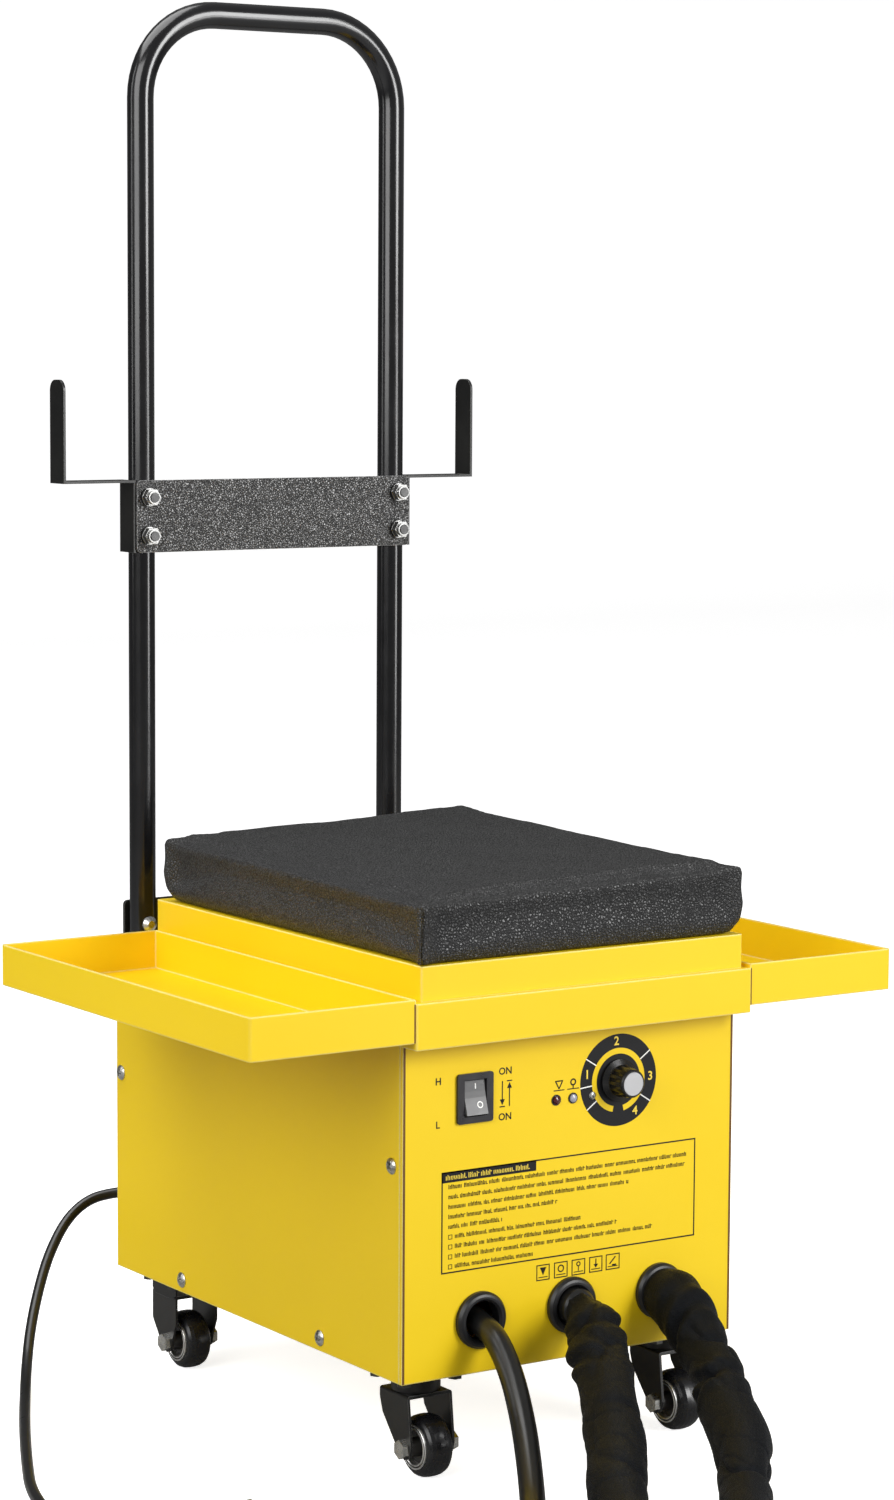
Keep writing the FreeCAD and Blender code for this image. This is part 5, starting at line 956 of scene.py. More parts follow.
def cushion_cover():
    """A remeshed block that swells as cloth under pressure, with its underside held on the seat box."""
    low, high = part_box("seat_cushion")
    low, high = np.array(low), np.array(high)
    shrink = np.array(CUSHION_SHRINK)
    core_low, core_high = low + shrink * (1, 1, 0), high - shrink
    work = bmesh.new()
    bmesh.ops.create_cube(work, size=1.0)
    centre, size = (core_low + core_high) / 2, core_high - core_low
    bmesh.ops.scale(work, vec=size, verts=work.verts)
    bmesh.ops.translate(work, vec=centre, verts=work.verts)
    edges = {"geom": work.edges[:], "affect": "EDGES", "clamp_overlap": True}
    bmesh.ops.bevel(work, offset=CUSHION_BEVEL, segments=3, profile=0.6, **edges)
    mesh = bpy.data.meshes.new("cushion_cover")
    work.to_mesh(mesh)
    work.free()
    made = link("cushion_cover", mesh)
    remesh = made.modifiers.new("remesh", "REMESH")
    remesh.mode = "VOXEL"
    remesh.voxel_size = CUSHION_GRID
    apply_modifiers(made)
    start = points_of(made.data)
    held = made.vertex_groups.new(name="held")
    below = np.flatnonzero(start[:, 2] < core_low[2] + CUSHION_HELD)
    held.add(below.tolist(), 1.0, "REPLACE")
    cloth = made.modifiers.new("cloth", "CLOTH")
    settings = cloth.settings
    settings.quality = 5
    settings.mass = 0.3
    settings.tension_stiffness = 40
    settings.compression_stiffness = 40
    settings.bending_stiffness = 4
    settings.use_pressure = True
    settings.uniform_pressure_force = 4
    settings.effector_weights.gravity = 0
    settings.vertex_group_mass = "held"
    scene = bpy.context.scene
    for number in range(1, CLOTH_FRAMES + 1):
        scene.frame_set(number)
    apply_modifiers(made)
    scene.frame_set(1)
    moved = points_of(made.data)
    shift = moved - start
    length = np.linalg.norm(shift, axis=1, keepdims=True)
    moved = start + shift * np.minimum(1, CUSHION_CAP / np.maximum(length, 1e-9))
    made.vertex_groups.clear()
    made.data.vertices.foreach_set("co", moved.ravel())
    divide = made.modifiers.new("smooth", "SUBSURF")
    divide.levels = divide.render_levels = 1
    apply_modifiers(made)
    made.data.vertices.foreach_set("co", cushion_shape(points_of(made.data), low, high).ravel())
    made.data.shade_smooth()
    made.data.materials.clear()
    made.data.materials.append(LEATHER)
    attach(made, "cabinet")
    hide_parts("seat_cushion")


def corner_square_to_round(x, y, half_x, half_y, radius):
    """Rounds an upright edge in plan: inside the corner's square, a point moves towards the square's inner
    corner by the larger of its two steps over its distance, which turns the square's rim into a circle."""
    step_x = np.clip(np.abs(x) - (half_x - radius), 0, None)
    step_y = np.clip(np.abs(y) - (half_y - radius), 0, None)
    reach = np.hypot(step_x, step_y)
    scale = np.maximum(step_x, step_y) / np.maximum(reach, 1e-9)
    inside = (step_x > 0) & (step_y > 0)
    new_x = np.where(inside, np.sign(x) * (half_x - radius + step_x * scale), x)
    new_y = np.where(inside, np.sign(y) * (half_y - radius + step_y * scale), y)
    return new_x, new_y


def round_to_square(first, second, limit_first, limit_second, radius, strength):
    """Crisps a rounded edge: past both limits less the radius, both steps grow by their distance over the
    larger of them, to a strength, and stop at the limits."""
    step_first = np.clip(np.abs(first) - (limit_first - radius), 0, None)
    step_second = np.clip(np.abs(second) - (limit_second - radius), 0, None)
    largest = np.maximum(np.maximum(step_first, step_second), 1e-9)
    grow = np.maximum(np.hypot(step_first, step_second) / largest, 1.0) ** strength - 1
    first = np.sign(first) * np.minimum(np.abs(first) + step_first * grow, limit_first)
    second = np.sign(second) * np.minimum(np.abs(second) + step_second * grow, limit_second)
    return first, second


# The cushion's looks, in millimetres: its top leans by a middle height and a rise per half width and half
# length; crown is the swell of its middle; the back edge stands in from the solid; each upright edge has
# a radius in plan at its foot and one at its top.
CUSHION_LEAN = (8.6, 4.2, 3.3)
CUSHION_CROWN = 3.0
CUSHION_WAIST = 1.6
CUSHION_BACK_IN = 10.0
CUSHION_EDGES = {(-1, -1): (2.0, 2.0), (1, -1): (6.0, 4.0), (1, 1): (7.0, 5.0), (-1, 1): (7.0, 4.0)}
# The dent beside the near left edge, and the swell behind it: place, width and depth.
FOLD_FROM_EDGE = 4.0
FOLD_WIDE = 2.0
FOLD_DEEP = 3.0
SWELL_FROM_EDGE = 0.019
SWELL_WIDE = 0.011
SWELL_OUT = 1.6
# How far in from its limits an edge is crisped, in metres, and to what strength.
CRISP_REACH = 0.020
CRISP_STRENGTH = 0.9
# The foot tucks under over this share of the height, by shares of the way from the middle: those of the
# sides along X and along Y, and what two of the corners add to each.
TUCK_HIGH = 0.25
TUCK_X, TUCK_CORNER_X = 0.010, 0.030
TUCK_Y, TUCK_CORNER_Y = 0.008, 0.024
# Puckers, drape and limits in metres.
PUCKER_DEEP = 0.0003
PUCKER_PITCH = 0.009
DRAPE_DEEP = 0.0002
SIDE_LIMIT = 0.0015
TOP_LIMIT = 0.021


def cushion_shape(points, low, high):
    """The cover's own form. The top rises by a plane plus crown (1 - u^4)(1 - v^4), shared out over the
    height; the sides draw in by waist (1 - v^2) between the corners; each upright edge is rounded; the
    foot tucks under; a fold runs down the near left edge and small puckers fan from the top corners."""
    centre = (low + high) / 2
    half = (high - low) / 2
    x, y = points[:, 0] - centre[0], points[:, 1] - centre[1]
    tall = points[:, 2] - low[2]
    past_x = np.clip((np.abs(x) - half[0]) / CRISP_REACH + 1, 0, 1)
    past_y = np.clip((np.abs(y) - half[1]) / CRISP_REACH + 1, 0, 1)
    at_corner = np.minimum(1.2 * np.sqrt(past_x * past_y), 1)
    first_x, first_y, first_tall = x, y, tall
    x, tall = round_to_square(x, tall, half[0], 2 * half[2], CRISP_REACH, CRISP_STRENGTH)
    y, tall = round_to_square(y, tall, half[1], 2 * half[2], CRISP_REACH, CRISP_STRENGTH)
    x, y = x + (first_x - x) * at_corner, y + (first_y - y) * at_corner
    tall = tall + (first_tall - tall) * 0.5 * at_corner
    new_x, new_y = round_to_square(x, y, half[0], half[1], CRISP_REACH, 1.0)
    upper = np.where((x < 0) & (y < 0), 1.0, np.clip(tall / (2 * half[2]) * 3.0 - 0.3, 0, 1))
    x, y = x + (new_x - x) * upper, y + (new_y - y) * upper
    u, v = np.clip(x / half[0], -1, 1), np.clip(y / half[1], -1, 1)
    w = np.clip(tall / (2 * half[2]), 0, 1)
    middle, across, along = CUSHION_LEAN
    rise = middle + across * u + along * v + CUSHION_CROWN * (1 - u**4) * (1 - v**4)
    z = low[2] + tall + MM * rise * w
    x = x - np.sign(u) * MM * CUSHION_WAIST * (1 - v**2) * np.abs(u) ** 8
    y = y - np.sign(v) * MM * CUSHION_WAIST * (1 - u**2) * np.abs(v) ** 8
    tuck = np.clip(1 - w / TUCK_HIGH, 0, 1) ** 2
    corner = np.clip(u * v * -1, 0, 1) ** 6
    x = x * (1 - tuck * (TUCK_X + TUCK_CORNER_X * corner))
    y = y * (1 - tuck * (TUCK_Y + TUCK_CORNER_Y * corner))
    for (side_x, side_y), (foot, top) in CUSHION_EDGES.items():
        mine = (np.sign(x) == side_x) & (np.sign(y) == side_y)
        new_x, new_y = corner_square_to_round(x, y, half[0], half[1], MM * (foot + (top - foot) * w))
        x, y = np.where(mine, new_x, x), np.where(mine, new_y, y)
    from_edge = y + half[1]
    on_side = np.clip(-u, 0, 1) ** 20 * np.clip((1.0 - w) / 0.12, 0, 1)
    dent = np.exp(-(((from_edge - MM * FOLD_FROM_EDGE) / (MM * FOLD_WIDE)) ** 2))
    swell = np.exp(-(((from_edge - SWELL_FROM_EDGE) / SWELL_WIDE) ** 2))
    x = x + MM * on_side * FOLD_DEEP * dent
    x = x - MM * on_side * SWELL_OUT * (1 - 0.6 * w) * swell
    near_corner = (np.abs(u) * np.abs(v)) ** 14 * np.clip(1 - np.abs(w - 0.8) / 0.35, 0, 1)
    fan = np.sin(2 * math.pi * (x + y) / PUCKER_PITCH + 5 * w)
    x = x - np.sign(x) * PUCKER_DEEP * near_corner * fan
    y = y - np.sign(y) * PUCKER_DEEP * near_corner * fan
    drape = DRAPE_DEEP * np.sin(2 * math.pi * x / 0.071 + 3 * v) * np.sin(2 * math.pi * y / 0.093 + 2 * u) * w
    y = -half[1] + (y + half[1]) * (1 - MM * CUSHION_BACK_IN / (2 * half[1]))
    return np.stack(
        [
            centre[0] + np.clip(x, -half[0] - SIDE_LIMIT, half[0] + SIDE_LIMIT),
            centre[1] + np.clip(y, -half[1] - SIDE_LIMIT, half[1] + SIDE_LIMIT),
            np.clip(z + drape, low[2] + 0.0002, high[2] + TOP_LIMIT),
        ],
        -1,
    )


def points_of(mesh):
    points = np.zeros(len(mesh.vertices) * 3)
    mesh.vertices.foreach_get("co", points)
    return points.reshape(-1, 3)


def apply_modifiers(made):
    """Puts the result of the live modifiers into the mesh and takes them off."""
    view = bpy.context.evaluated_depsgraph_get()
    mesh = bpy.data.meshes.new_from_object(made.evaluated_get(view))
    made.modifiers.clear()
    made.data = mesh


cushion_cover()

# The folded leather: the leaf's section, the middle it thins towards and its sway, in millimetres.
LEAF = ((0.9, -0.1), (-0.3, -0.7), (-1.1, 0.3), (-1.3, 3.4), (-0.9, 4.3), (0.9, 4.4))
LEAF_MIDDLE = 0.6
LEAF_SWAY = 0.4
LEAF_LEVELS = 24


def cushion_fold():
    """The cover's leather folded over at the near left edge: a leaf section carried up the cushion, which
    thins at both ends by the fourth power of the way from its middle."""
    low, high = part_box("seat_cushion")
    corner = np.array([low.x, low.y])
    leaf = np.array(LEAF) * MM
    level = np.linspace(0, 1, LEAF_LEVELS)[:, None]
    thick = 1 - (2 * np.abs(level - 0.5)) ** 4 * 0.8
    sway = MM * LEAF_SWAY * np.sin(2 * math.pi * 1.5 * level)
    grid = np.zeros((LEAF_LEVELS, len(leaf), 3))
    grid[..., 0] = corner[0] + MM * LEAF_MIDDLE + (leaf[:, 0] - MM * LEAF_MIDDLE) * thick
    grid[..., 1] = corner[1] + leaf[:, 1] + sway * (leaf[:, 1] > 0.001)
    grid[..., 2] = low.z + 0.0015 + (high.z - low.z - 0.0035) * level
    faces = grid_faces(LEAF_LEVELS, len(leaf), round_columns=True, caps=True)
    made = piece("cushion_fold", grid, faces, LEATHER, crisp=50.0)
    divide = made.modifiers.new("smooth", "SUBSURF")
    divide.levels = divide.render_levels = 1


cushion_fold()

# Prints on the panel, from places in millimetres across and up: closed slabs that stand PRINT out of what
# they lie on and sink PRINT_SUNK into it.
PRINT = 0.12
PRINT_SUNK = 0.03


def slab_depths(level, plane=FRONT):
    """Where the near and far face of a slab lie; a higher level lies on a lower one."""
    return plane - PRINT * (level + 1) * MM, plane - (PRINT * level - PRINT_SUNK) * MM


def slab(outline, level=0, plane=FRONT):
    """A flat outline of (x, z) points, carried from its ground forward."""
    flat = np.asarray(outline, float) * MM
    points = np.zeros((2, len(flat), 3))
    points[..., 0] = flat[:, 0]
    points[..., 2] = flat[:, 1]
    points[0, :, 1], points[1, :, 1] = slab_depths(level, plane)
    return points.reshape(-1, 3), grid_faces(2, len(flat), round_columns=True, caps=True)


def bar(x0, z0, x1, z1, level=0, plane=FRONT):
    return slab([(x0, z0), (x1, z0), (x1, z1), (x0, z1)], level, plane)


def stroke(x0, z0, x1, z1, wide, level=0):
    """A bar of even width between two places."""
    ahead = np.array([x1 - x0, z1 - z0], float)
    side = np.array([-ahead[1], ahead[0]]) / np.hypot(*ahead) * wide / 2
    start, end = np.array([x0, z0]), np.array([x1, z1])
    return slab([start + side, end + side, end - side, start - side], level)


def ring_slab(x, z, inner, outer, start=0.0, stop=360.0, steps=64):
    """Part of a flat ring: four edge lines carried from one angle to another, closed where they meet."""
    whole = stop - start >= 360
    angle = np.radians(np.linspace(start, stop, steps, endpoint=not whole))[:, None]
    radius = np.array([inner, outer, outer, inner]) * MM
    near, far = slab_depths(0)
    points = np.zeros((steps, 4, 3))
    points[..., 0] = x * MM + radius * np.cos(angle)
    points[..., 1] = [far, far, near, near]
    points[..., 2] = z * MM + radius * np.sin(angle)
    faces = grid_faces(steps, 4, round_rows=whole, round_columns=True, caps=not whole)
    return points.reshape(-1, 3), faces


def frame_slab(x0, z0, x1, z1, wide):
    """The outline of a rectangle: its four corners by the same four edge lines."""
    corners = np.array([(x0, z0, 1, 1), (x1, z0, -1, 1), (x1, z1, -1, -1), (x0, z1, 1, -1)], float)
    inwards = np.array([1.0, 0.0, 0.0, 1.0]) * wide
    near, far = slab_depths(0)
    points = np.zeros((4, 4, 3))
    points[..., 0] = (corners[:, :1] + corners[:, 2:3] * inwards) * MM
    points[..., 1] = [far, far, near, near]
    points[..., 2] = (corners[:, 1:2] + corners[:, 3:] * inwards) * MM
    return points.reshape(-1, 3), grid_faces(4, 4, round_rows=True, round_columns=True)


def prints(name, parts, material, body="cabinet"):
    points, faces, start = [], [], 0
    for more, more_faces in parts:
        faces += [[number + start for number in face] for face in more_faces]
        points.append(more)
        start += len(more)
    return piece(name, np.vstack(points), faces, material, body)


def word(text, x, z, size, level=0):
    """Letters stood on the panel: a font curve, fattened a little, extruded and made a mesh."""
    curve = bpy.data.curves.new("word", "FONT")
    curve.body = text
    curve.size = size * MM
    curve.extrude = PRINT * MM / 2
    curve.resolution_u = 3
    curve.offset = size * MM * 0.018
    curve.align_x = "CENTER"
    curve.align_y = "CENTER"
    loose = bpy.data.objects.new("word", curve)
    mesh = bpy.data.meshes.new_from_object(loose)
    bpy.data.objects.remove(loose)
    y = FRONT - PRINT * (level + 0.5) * MM
    mesh.transform(Matrix(((1, 0, 0, x * MM), (0, 0, -1, y), (0, 1, 0, z * MM), (0, 0, 0, 1))))
    return mesh


# The dial: a black ring and middle that leave a band of the panel bare, white dividers and plain numbers.
DIAL = (43.3, 291.8)
DIAL_RADII = (20.5, 25.0, 36.0)
DIAL_GAP = 12.0
DIVIDERS = (148.0, 34.7, -32.6, 185.0, 215.0)
NUMBERS = {"1": 167.0, "2": 94.0, "3": 0.0, "4": -58.0}
NUMBER_RADIUS = 30.4
NUMBER_SIZE = 9.6


def at_angle(degrees, radius):
    """The place at an angle and a radius from the dial's middle."""
    angle = math.radians(degrees)
    return DIAL[0] + radius * math.cos(angle), DIAL[1] + radius * math.sin(angle)


middle, band_outer, dial_outer = DIAL_RADII
prints(
    "dial_print",
    [
        ring_slab(*DIAL, 9.0, middle),
        ring_slab(*DIAL, band_outer, dial_outer, steps=96),
        ring_slab(*DIAL, middle - 0.05, band_outer + 0.05, 270 - DIAL_GAP, 270 + DIAL_GAP, steps=12),
    ],
    INK,
)
prints(
    "dial_dividers",
    [stroke(*at_angle(a, band_outer), *at_angle(a, dial_outer + 0.1), 0.9, 1) for a in DIVIDERS],
    WHITE_INK,
)
numbers = [word(text, *at_angle(a, NUMBER_RADIUS), NUMBER_SIZE, 1) for text, a in NUMBERS.items()]
settle("dial_numbers", numbers, YELLOW_INK)

# Marks beside the rocker: its two plain arrows and letters.
settle(
    "switch_letters",
    [word("H", -122.7, 307.3, 7.6), word("L", -123.0, 274.4, 7.6)]
    + [word("ON", -62.1, 309.4, 7.6), word("ON", -62.2, 274.4, 7.6)],
    INK,
)


def arrow(x, low, high, points_up):
    """A stem with a head at one end and a short bar past the head."""
    tip, root = (high - 1.4, high - 6.0) if points_up else (low + 1.4, low + 6.0)
    tail = low if points_up else high
    edge = high - 0.35 if points_up else low + 0.35
    return [
        stroke(x, tail, x, root, 0.9),
        slab([(x - 2.2, root), (x + 2.2, root), (x, tip)]),
        stroke(x - 2.4, edge, x + 2.4, edge, 0.9),
    ]


prints("switch_arrows", arrow(-58.3, 282.2, 302.2, True) + arrow(-64.8, 282.1, 302.1, False), INK)

# Small signs above the lamps: a lamp for heat and a lamp for power.
prints(
    "lamp_signs",
    [
        stroke(-17.5, 289.4, -7.5, 289.4, 0.8),
        stroke(-15.8, 296.6, -12.5, 290.6, 1.0),
        stroke(-12.5, 290.6, -9.2, 296.6, 1.0),
        stroke(-16.1, 296.6, -8.9, 296.6, 1.0),
        stroke(-4.8, 289.4, 6.1, 289.4, 0.8),
        stroke(0.65, 289.4, 0.65, 292.2, 1.0),
        ring_slab(0.65, 294.6, 1.6, 2.8, steps=24),
    ],
    TEXT_INK,
)

# The table of text: rows of short ticks stand for small print, and nothing in it can be read.
TABLE = (-119.3, 160.2, 118.4, 238.0)
ROW_SHARES = (0.96, 0.955, 0.73, 0.44, 0.23, 0.54, 0.68, 0.82, 0.35)
ROW_PITCH = 7.6
ROW_FIRST = 226.0
ROW_START = -113.0
TICK_PITCH = 1.22
TICK_WIDE = 0.64
CHECKED_ROWS = 4


def tick_row(left, right, middle_z, high, pitch, wide, draw, level=0):
    """Ticks in words of four to seventeen, one in four of them taller; short bars join some to the next
    tick, at their top or at their foot."""
    parts, x, word_left = [], left, draw.integers(4, 14)
    while x < right:
        if word_left == 0:
            word_left = draw.integers(4, 18)
            x += pitch * 1.6
            continue
        tall = high * draw.choice([1.0, 1.0, 1.0, 1.3])
        foot = middle_z - high / 2
        parts.append(bar(x, foot, x + wide, foot + tall, level))
        if word_left % 2 and draw.random() < 0.75:
            top = foot + (high if draw.random() < 0.6 else wide)
            parts.append(bar(x + 0.02, top - wide * 0.9, x + pitch + wide - 0.02, top - 0.01, level))
        x += pitch
        word_left -= 1
    return parts


draw = np.random.default_rng(5)
wide = TABLE[2] - TABLE[0]
rows = []
for number, share in enumerate(ROW_SHARES):
    height = ROW_FIRST - ROW_PITCH * number
    left = ROW_START
    if number >= len(ROW_SHARES) - CHECKED_ROWS:
        rows.append(frame_slab(left, height - 1.8, left + 3.6, height + 1.8, 0.5))
        left += 6.0
    rows += tick_row(left, TABLE[0] + wide * share, height, 2.6, TICK_PITCH, TICK_WIDE, draw)
prints("table_rows", rows, TEXT_INK)
prints("table_frame", [frame_slab(*TABLE, 1.1), bar(-119.2, 229.7, -33.1, 237.9)], INK)
prints("table_heading", tick_row(-115.5, -38.0, 233.2, 3.0, 1.5, 0.7, draw, 1), YELLOW_INK)


def boxed_signs():
    """Five boxes with a ground line, each with a plain shape of its own."""
    low, high = 143.4, 155.8
    drop, ring, pin, arrow_down, slope = -25.9, -9.3, 7.2, 23.7, 39.7
    parts = []
    for left, right in ((-32.1, -19.8), (-15.7, -3.0), (0.8, 13.6), (17.4, 29.9), (33.1, 46.3)):
        parts.append(frame_slab(left, low, right, high, 0.85))
        parts.append(bar(left + 2.0, low + 2.2, right - 2.0, low + 2.9))
    parts.append(slab([(drop - 3.0, 153.6), (drop + 3.0, 153.6), (drop, 147.4)]))
    parts.append(ring_slab(ring, 150.6, 2.0, 3.0, steps=24))
    parts.append(ring_slab(pin, 152.0, 1.1, 2.0, steps=24))
    parts.append(bar(pin - 0.4, 146.6, pin + 0.4, 150.2))
    parts.append(bar(arrow_down - 0.5, 149.6, arrow_down + 0.5, 154.0))
    parts.append(slab([(arrow_down - 2.2, 149.8), (arrow_down + 2.2, 149.8), (arrow_down, 146.8)]))
    parts.append(stroke(slope - 3.0, 148.0, slope + 2.6, 153.4, 1.1))
    parts.append(bar(slope - 0.6, 146.4, slope + 3.4, 147.6))
    return parts


prints("boxed_signs", boxed_signs(), TEXT_INK)

# Painted shade: a dark strip at each front corner stands for the shade in the gap where the side's edge laps
# the front's fold.
SEAM_IN, SEAM_WIDE = 0.3, 1.9
SEAM_LOW, SEAM_HIGH = 80.4, 336.6
left_seam, right_seam = panel_low.x / MM + SEAM_IN, panel_high.x / MM - SEAM_IN
seams = [(left_seam, left_seam + SEAM_WIDE), (right_seam - SEAM_WIDE, right_seam)]
prints("corner_seam_shade", [bar(left, SEAM_LOW, right, SEAM_HIGH) for left, right in seams], PAINTED_SHADE)

# Painted shade: a dark strip stands for the shade in the gap between each tray's end and the band round the
# top.
TRAY_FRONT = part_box("left_tray")[0].y
cover_left, cover_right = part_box("top_cover")[0].x / MM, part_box("top_cover")[1].x / MM
GAP_START, GAP_WIDE = 0.05, 1.3
GAP_LOW, GAP_HIGH = 342.8, 371.8
gaps = [(cover_left - GAP_WIDE, cover_left - GAP_START), (cover_right + GAP_START, cover_right + GAP_WIDE)]
prints("tray_gap_shade", [bar(left, GAP_LOW, right, GAP_HIGH, plane=TRAY_FRONT) for left, right in gaps], PAINTED_SHADE)


def rocker_marks():
    """A bar and a ring laid on the rocker's own face, square to it where they sit."""
    line = bar(-90.05, 299.0, -89.15, 303.0)
    ring = ring_slab(-86.9, 286.9, 1.8, 2.6)
    parts = []
    for x, z, (points, faces) in ((-89.6, 301.0, line), (-86.9, 286.9, ring)):
        before = Vector((x * MM, FRONT - 0.05, z * MM))
        _, place, normal, _ = nodes["rocker"].ray_cast(before, Vector((0, 1, 0)))
        up = np.cross((1, 0, 0), normal)
        offset = points - (x * MM, FRONT, z * MM)
        laid = np.outer(offset[:, 0], (1, 0, 0)) + np.outer(offset[:, 2], -up)
        laid = laid - np.outer(offset[:, 1], normal)
        parts.append((laid + np.array(place), faces))
    prints("rocker_marks", parts, WHITE_INK, "switch_rocker")


rocker_marks()

# Lamp lenses, in the CAD's dark rims: a parabola that falls from the middle's height to the edge's.
LENS_RADIUS = 3.1
LENS_EDGE_OUT = 1.3
LENS_DOME = 1.1
LENS_ROOT_OUT = 0.6
lens_radius = np.linspace(0.15, LENS_RADIUS, 9)
lens_front = FRONT / MM - LENS_EDGE_OUT - LENS_DOME * (1 - (lens_radius / LENS_RADIUS) ** 2)
lens_root = [(FRONT / MM - LENS_ROOT_OUT, LENS_RADIUS)]
lens_profile = np.vstack([np.stack([lens_front, lens_radius], -1), lens_root]) * MM
for name, x, z, material in (("lens_red", -15.2, 282.1, RED_LENS), ("lens_clear", 0.4, 282.1, CLEAR_LENS)):
    turned_piece(name, lens_profile, x * MM, z * MM, material, steps=32)

# Screws, in millimetres: how far out the side panels lie, the (y, z) of their screws, the place of the one on
# the front, and for each kind its head's radius and height. The shank's points are (radius, rise).
SIDE_OUT = 154.0
SIDE_SCREWS = ((207.8, 246.0), (-211.2, 244.5), (105.8, 90.4), (-109.7, 90.4))
FRONT_SCREW = (18.8, FRONT / MM, 282.1)
SIDE_HEAD = (6.3, 3.2)
FRONT_HEAD = (3.1, 1.5)
SHANK = ((2.0, 0.0), (2.0, -7.0), (0.2, -7.4))
# Half the cross's width and its reach, by the head's radius; its depth, by the head's height.
CROSS_HALF = 0.11
CROSS_LONG = 0.52
CROSS_DEEP = 0.62


def screw_set():
    """Pan heads with a cross cut in. Each head is a grid of radius by angle: a dome less the cross, then
    its rim, its underside and its shank."""
    screws = [((side * SIDE_OUT, y, z), (side, 0, 0), *SIDE_HEAD) for side in (-1, 1) for y, z in SIDE_SCREWS]
    screws.append((FRONT_SCREW, (0, -1, 0), *FRONT_HEAD))
    parts = []
    for number, (place, out, head, high) in enumerate(screws):
        out = np.array(out, float)
        first = np.cross((0, 0, 1), out)
        second = np.cross(out, first)
        radius = np.linspace(0.03, 1.0, 20)[:, None] * head
        angle = np.linspace(0, 2 * math.pi, 56, endpoint=False)[None, :]
        turn = angle + 0.6 * number
        a, b = np.abs(radius * np.cos(turn)), np.abs(radius * np.sin(turn))
        arm = np.clip((CROSS_HALF * head - np.minimum(a, b)) / 0.15 + 0.5, 0, 1)
        arm = arm * np.clip((CROSS_LONG * head - np.maximum(a, b)) / 0.3 + 0.5, 0, 1)
        rise = high * (1 - 0.75 * (radius / head) ** 2.6) - CROSS_DEEP * high * arm
        rows = np.array([(head, 0.0), *SHANK])
        radius = np.vstack([np.broadcast_to(radius, rise.shape), rows[:, :1] + 0 * angle])
        rise = np.vstack([rise, rows[:, 1:] + 0 * angle])
        grid = (radius * np.cos(angle))[..., None] * first + (radius * np.sin(angle))[..., None] * second
        grid = (grid + rise[..., None] * out + np.array(place)) * MM
        parts.append((grid.reshape(-1, 3), grid_faces(*radius.shape, round_columns=True, caps=True)))
    made = prints("panel_screw_set", parts, DULL_ZINC)
    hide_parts("panel_screws")


screw_set()

# The rear brackets' legs, in millimetres: half their width above and at their foot, the height of the foot,
# how high their corners are cut, and how far from the wheel's middle their two faces lie.
CHEEK_HALF = 19.5
CHEEK_FOOT_HALF = 14.0
CHEEK_FOOT = 62.0
CHEEK_CUT = 4
CHEEK_FACES = (18.2, 20.2)


def bracket_cheeks():
    """The rear brackets' legs carried up to their plates: flat plates whose lower corners are cut off."""
    low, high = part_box("rear_caster_brackets")
    middle_y, top = (low.y + high.y) / 2 / MM, high.z / MM - 0.3
    half = [(CHEEK_HALF, top), (CHEEK_HALF, CHEEK_FOOT + CHEEK_CUT), (CHEEK_FOOT_HALF, CHEEK_FOOT)]
    outline = np.array([(-CHEEK_HALF, top)] + half + [(-y, z) for y, z in half[:0:-1]])
    parts = []
    for wheel in ("rear_left_rim", "rear_right_rim"):
        axis_x = (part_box(wheel)[0].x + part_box(wheel)[1].x) / 2 / MM
        for side in (-1, 1):
            grid = np.zeros((2, len(outline), 3))
            grid[0, :, 0], grid[1, :, 0] = (axis_x + side * away for away in CHEEK_FACES)
            grid[..., 1] = middle_y + outline[:, 0]
            grid[..., 2] = outline[:, 1]
            faces = grid_faces(2, len(outline), round_columns=True, caps=True)
            parts.append((grid.reshape(-1, 3) * MM, faces))
    prints("rear_bracket_cheeks", parts, STEEL_BLACK)


bracket_cheeks()

# Light: a pale floor that sweeps up behind, soft boxes and a pale surround. The camera sees both as plain
# paper; all other rays meet them dimmer, so that blacks stay black and metal has something dark to show.
FLOOR_WIDE = 14.0
FLOOR_FRONT = -9.0
FLOOR_BACK = 7.0
SWEEP_RADIUS = 2.5
WALL_HIGH = 9.0
FLOOR_PALE = 0.34
FLOOR_SEEN = 0.88
PAPER_GLOW = 0.80
WORLD_LIGHT = 0.24
WORLD_SEEN = 1.0


def paper_finish():
    """Matt paper: the camera meets it pale, light bouncing on to the part meets it greyer."""
    material, tree, shader = bare_finish("studio_paper", Specular_IOR_Level=0.05, Roughness=0.95)
    texture = grouped(tree, GRAIN, Grain_Size=3.0, Patch_Size=900.0)
    seen = node(tree, "ShaderNodeLightPath").outputs["Is Camera Ray"]
    dim = blend_colour(tree, texture["Patch"], grey(FLOOR_PALE), grey(FLOOR_PALE + 0.02))
    tree.links.new(blend_colour(tree, seen, dim, grey(FLOOR_SEEN)), shader["Base Color"])
    tree.links.new(blend_colour(tree, seen, grey(0.0), grey(PAPER_GLOW)), shader["Emission Color"])
    shader["Emission Strength"].default_value = 1.0
    tree.links.new(bump(tree, texture["Height"], 0.01), shader["Normal"])
    return material


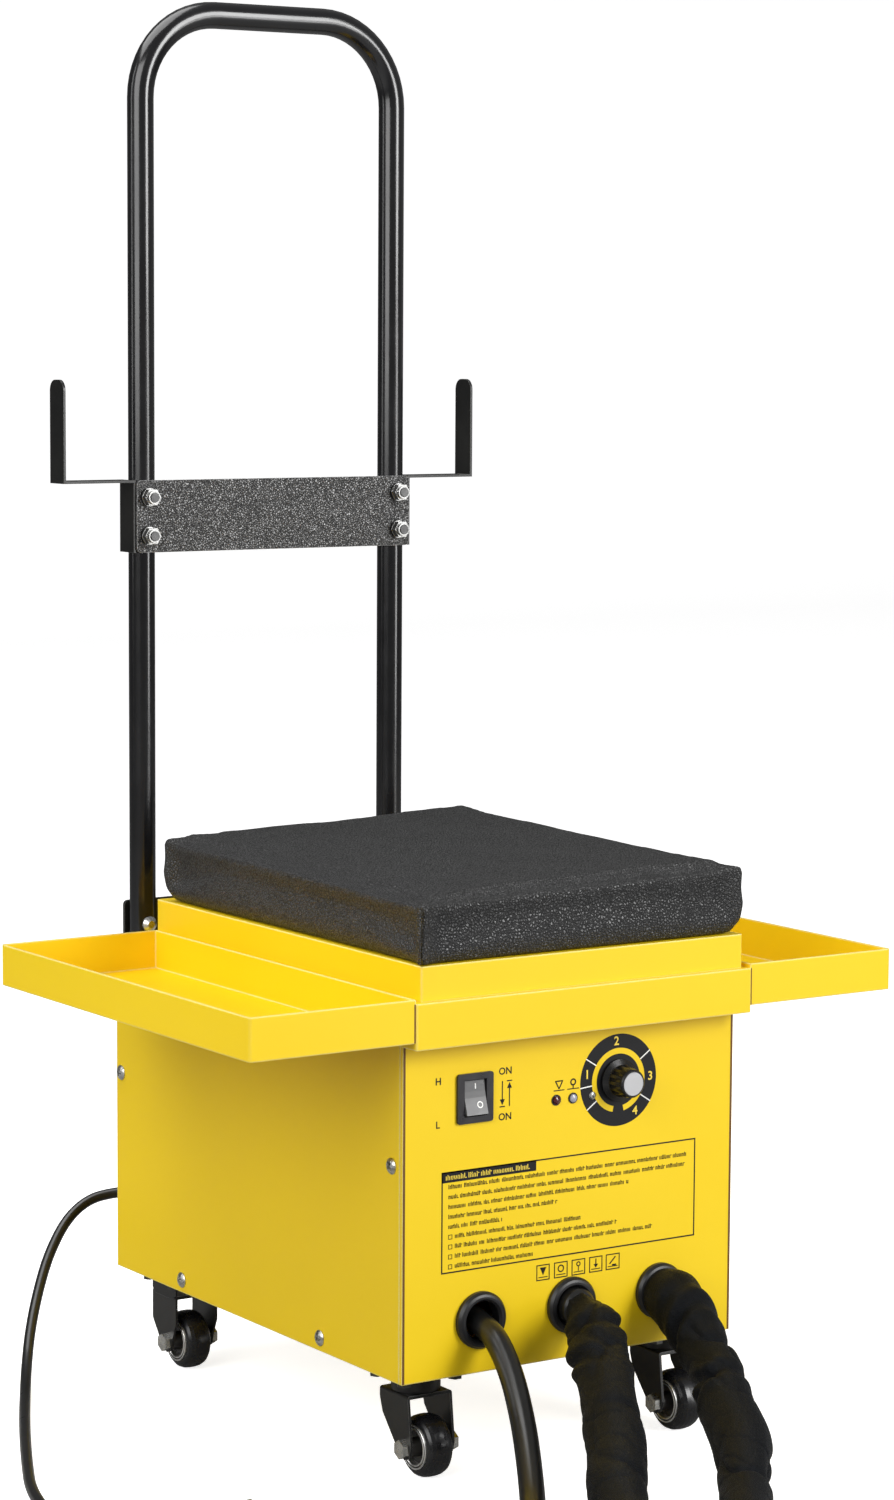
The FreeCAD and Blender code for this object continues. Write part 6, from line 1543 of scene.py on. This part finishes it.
def studio_floor():
    """One sheet: flat on the floor, a quarter circle behind, then straight up."""
    turn = np.linspace(0, math.pi / 2, 24)
    y = np.concatenate([[FLOOR_FRONT], FLOOR_BACK + SWEEP_RADIUS * np.sin(turn), [FLOOR_BACK + SWEEP_RADIUS]])
    z = np.concatenate([[FLOOR], FLOOR + SWEEP_RADIUS * (1 - np.cos(turn)), [WALL_HIGH]])
    x = np.linspace(-FLOOR_WIDE, FLOOR_WIDE, 9)
    grid = np.zeros((len(y), len(x), 3))
    grid[..., 0] = x
    grid[..., 1] = y[:, None]
    grid[..., 2] = z[:, None]
    mesh = bpy.data.meshes.new("studio_floor")
    mesh.from_pydata(grid.reshape(-1, 3).tolist(), [], grid_faces(len(y), len(x)))
    mesh.shade_smooth()
    made = link("studio_floor", mesh)
    mesh.materials.append(paper_finish())


def soft_box(name, place, target, wide, high, power):
    data = bpy.data.lights.new(name, "AREA")
    data.shape = "RECTANGLE"
    data.size, data.size_y = wide, high
    data.energy = power
    made = link(name, data)
    made.location = place
    made.rotation_mode = "QUATERNION"
    made.rotation_quaternion = (Vector(target) - Vector(place)).to_track_quat("-Z", "Y")


def surround():
    """White to the camera, grey to all other rays."""
    world = bpy.data.worlds.new("surround")
    world.use_nodes = True
    tree = world.node_tree
    seen = node(tree, "ShaderNodeLightPath").outputs["Is Camera Ray"]
    levels = {0: seen, 2: WORLD_LIGHT, 3: WORLD_SEEN}
    level = node(tree, "ShaderNodeMix", levels, data_type="FLOAT").outputs[0]
    tree.nodes["Background"].inputs["Color"].default_value = (1, 1, 1, 1)
    tree.links.new(level, tree.nodes["Background"].inputs["Strength"])
    bpy.context.scene.world = world
    bpy.context.scene.view_settings.view_transform = "Standard"


studio_floor()
surround()
soft_box("key_light", (1.7, -3.3, 1.9), (0.0, 0.0, 0.5), 1.4, 2.0, 118)
soft_box("fill_light", (-2.4, -1.0, 1.6), (0.0, 0.0, 0.5), 2.0, 2.0, 54)
soft_box("low_card", (2.1, -3.1, 0.5), (0.0, 0.0, 0.25), 0.9, 0.7, 16)
soft_box("left_strip", (-2.6, 1.2, 1.5), (0.0, 0.0, 0.8), 0.35, 2.0, 7)
soft_box("top_light", (-0.8, 0.5, 3.0), (0.0, 0.0, 0.0), 2.2, 2.2, 62)
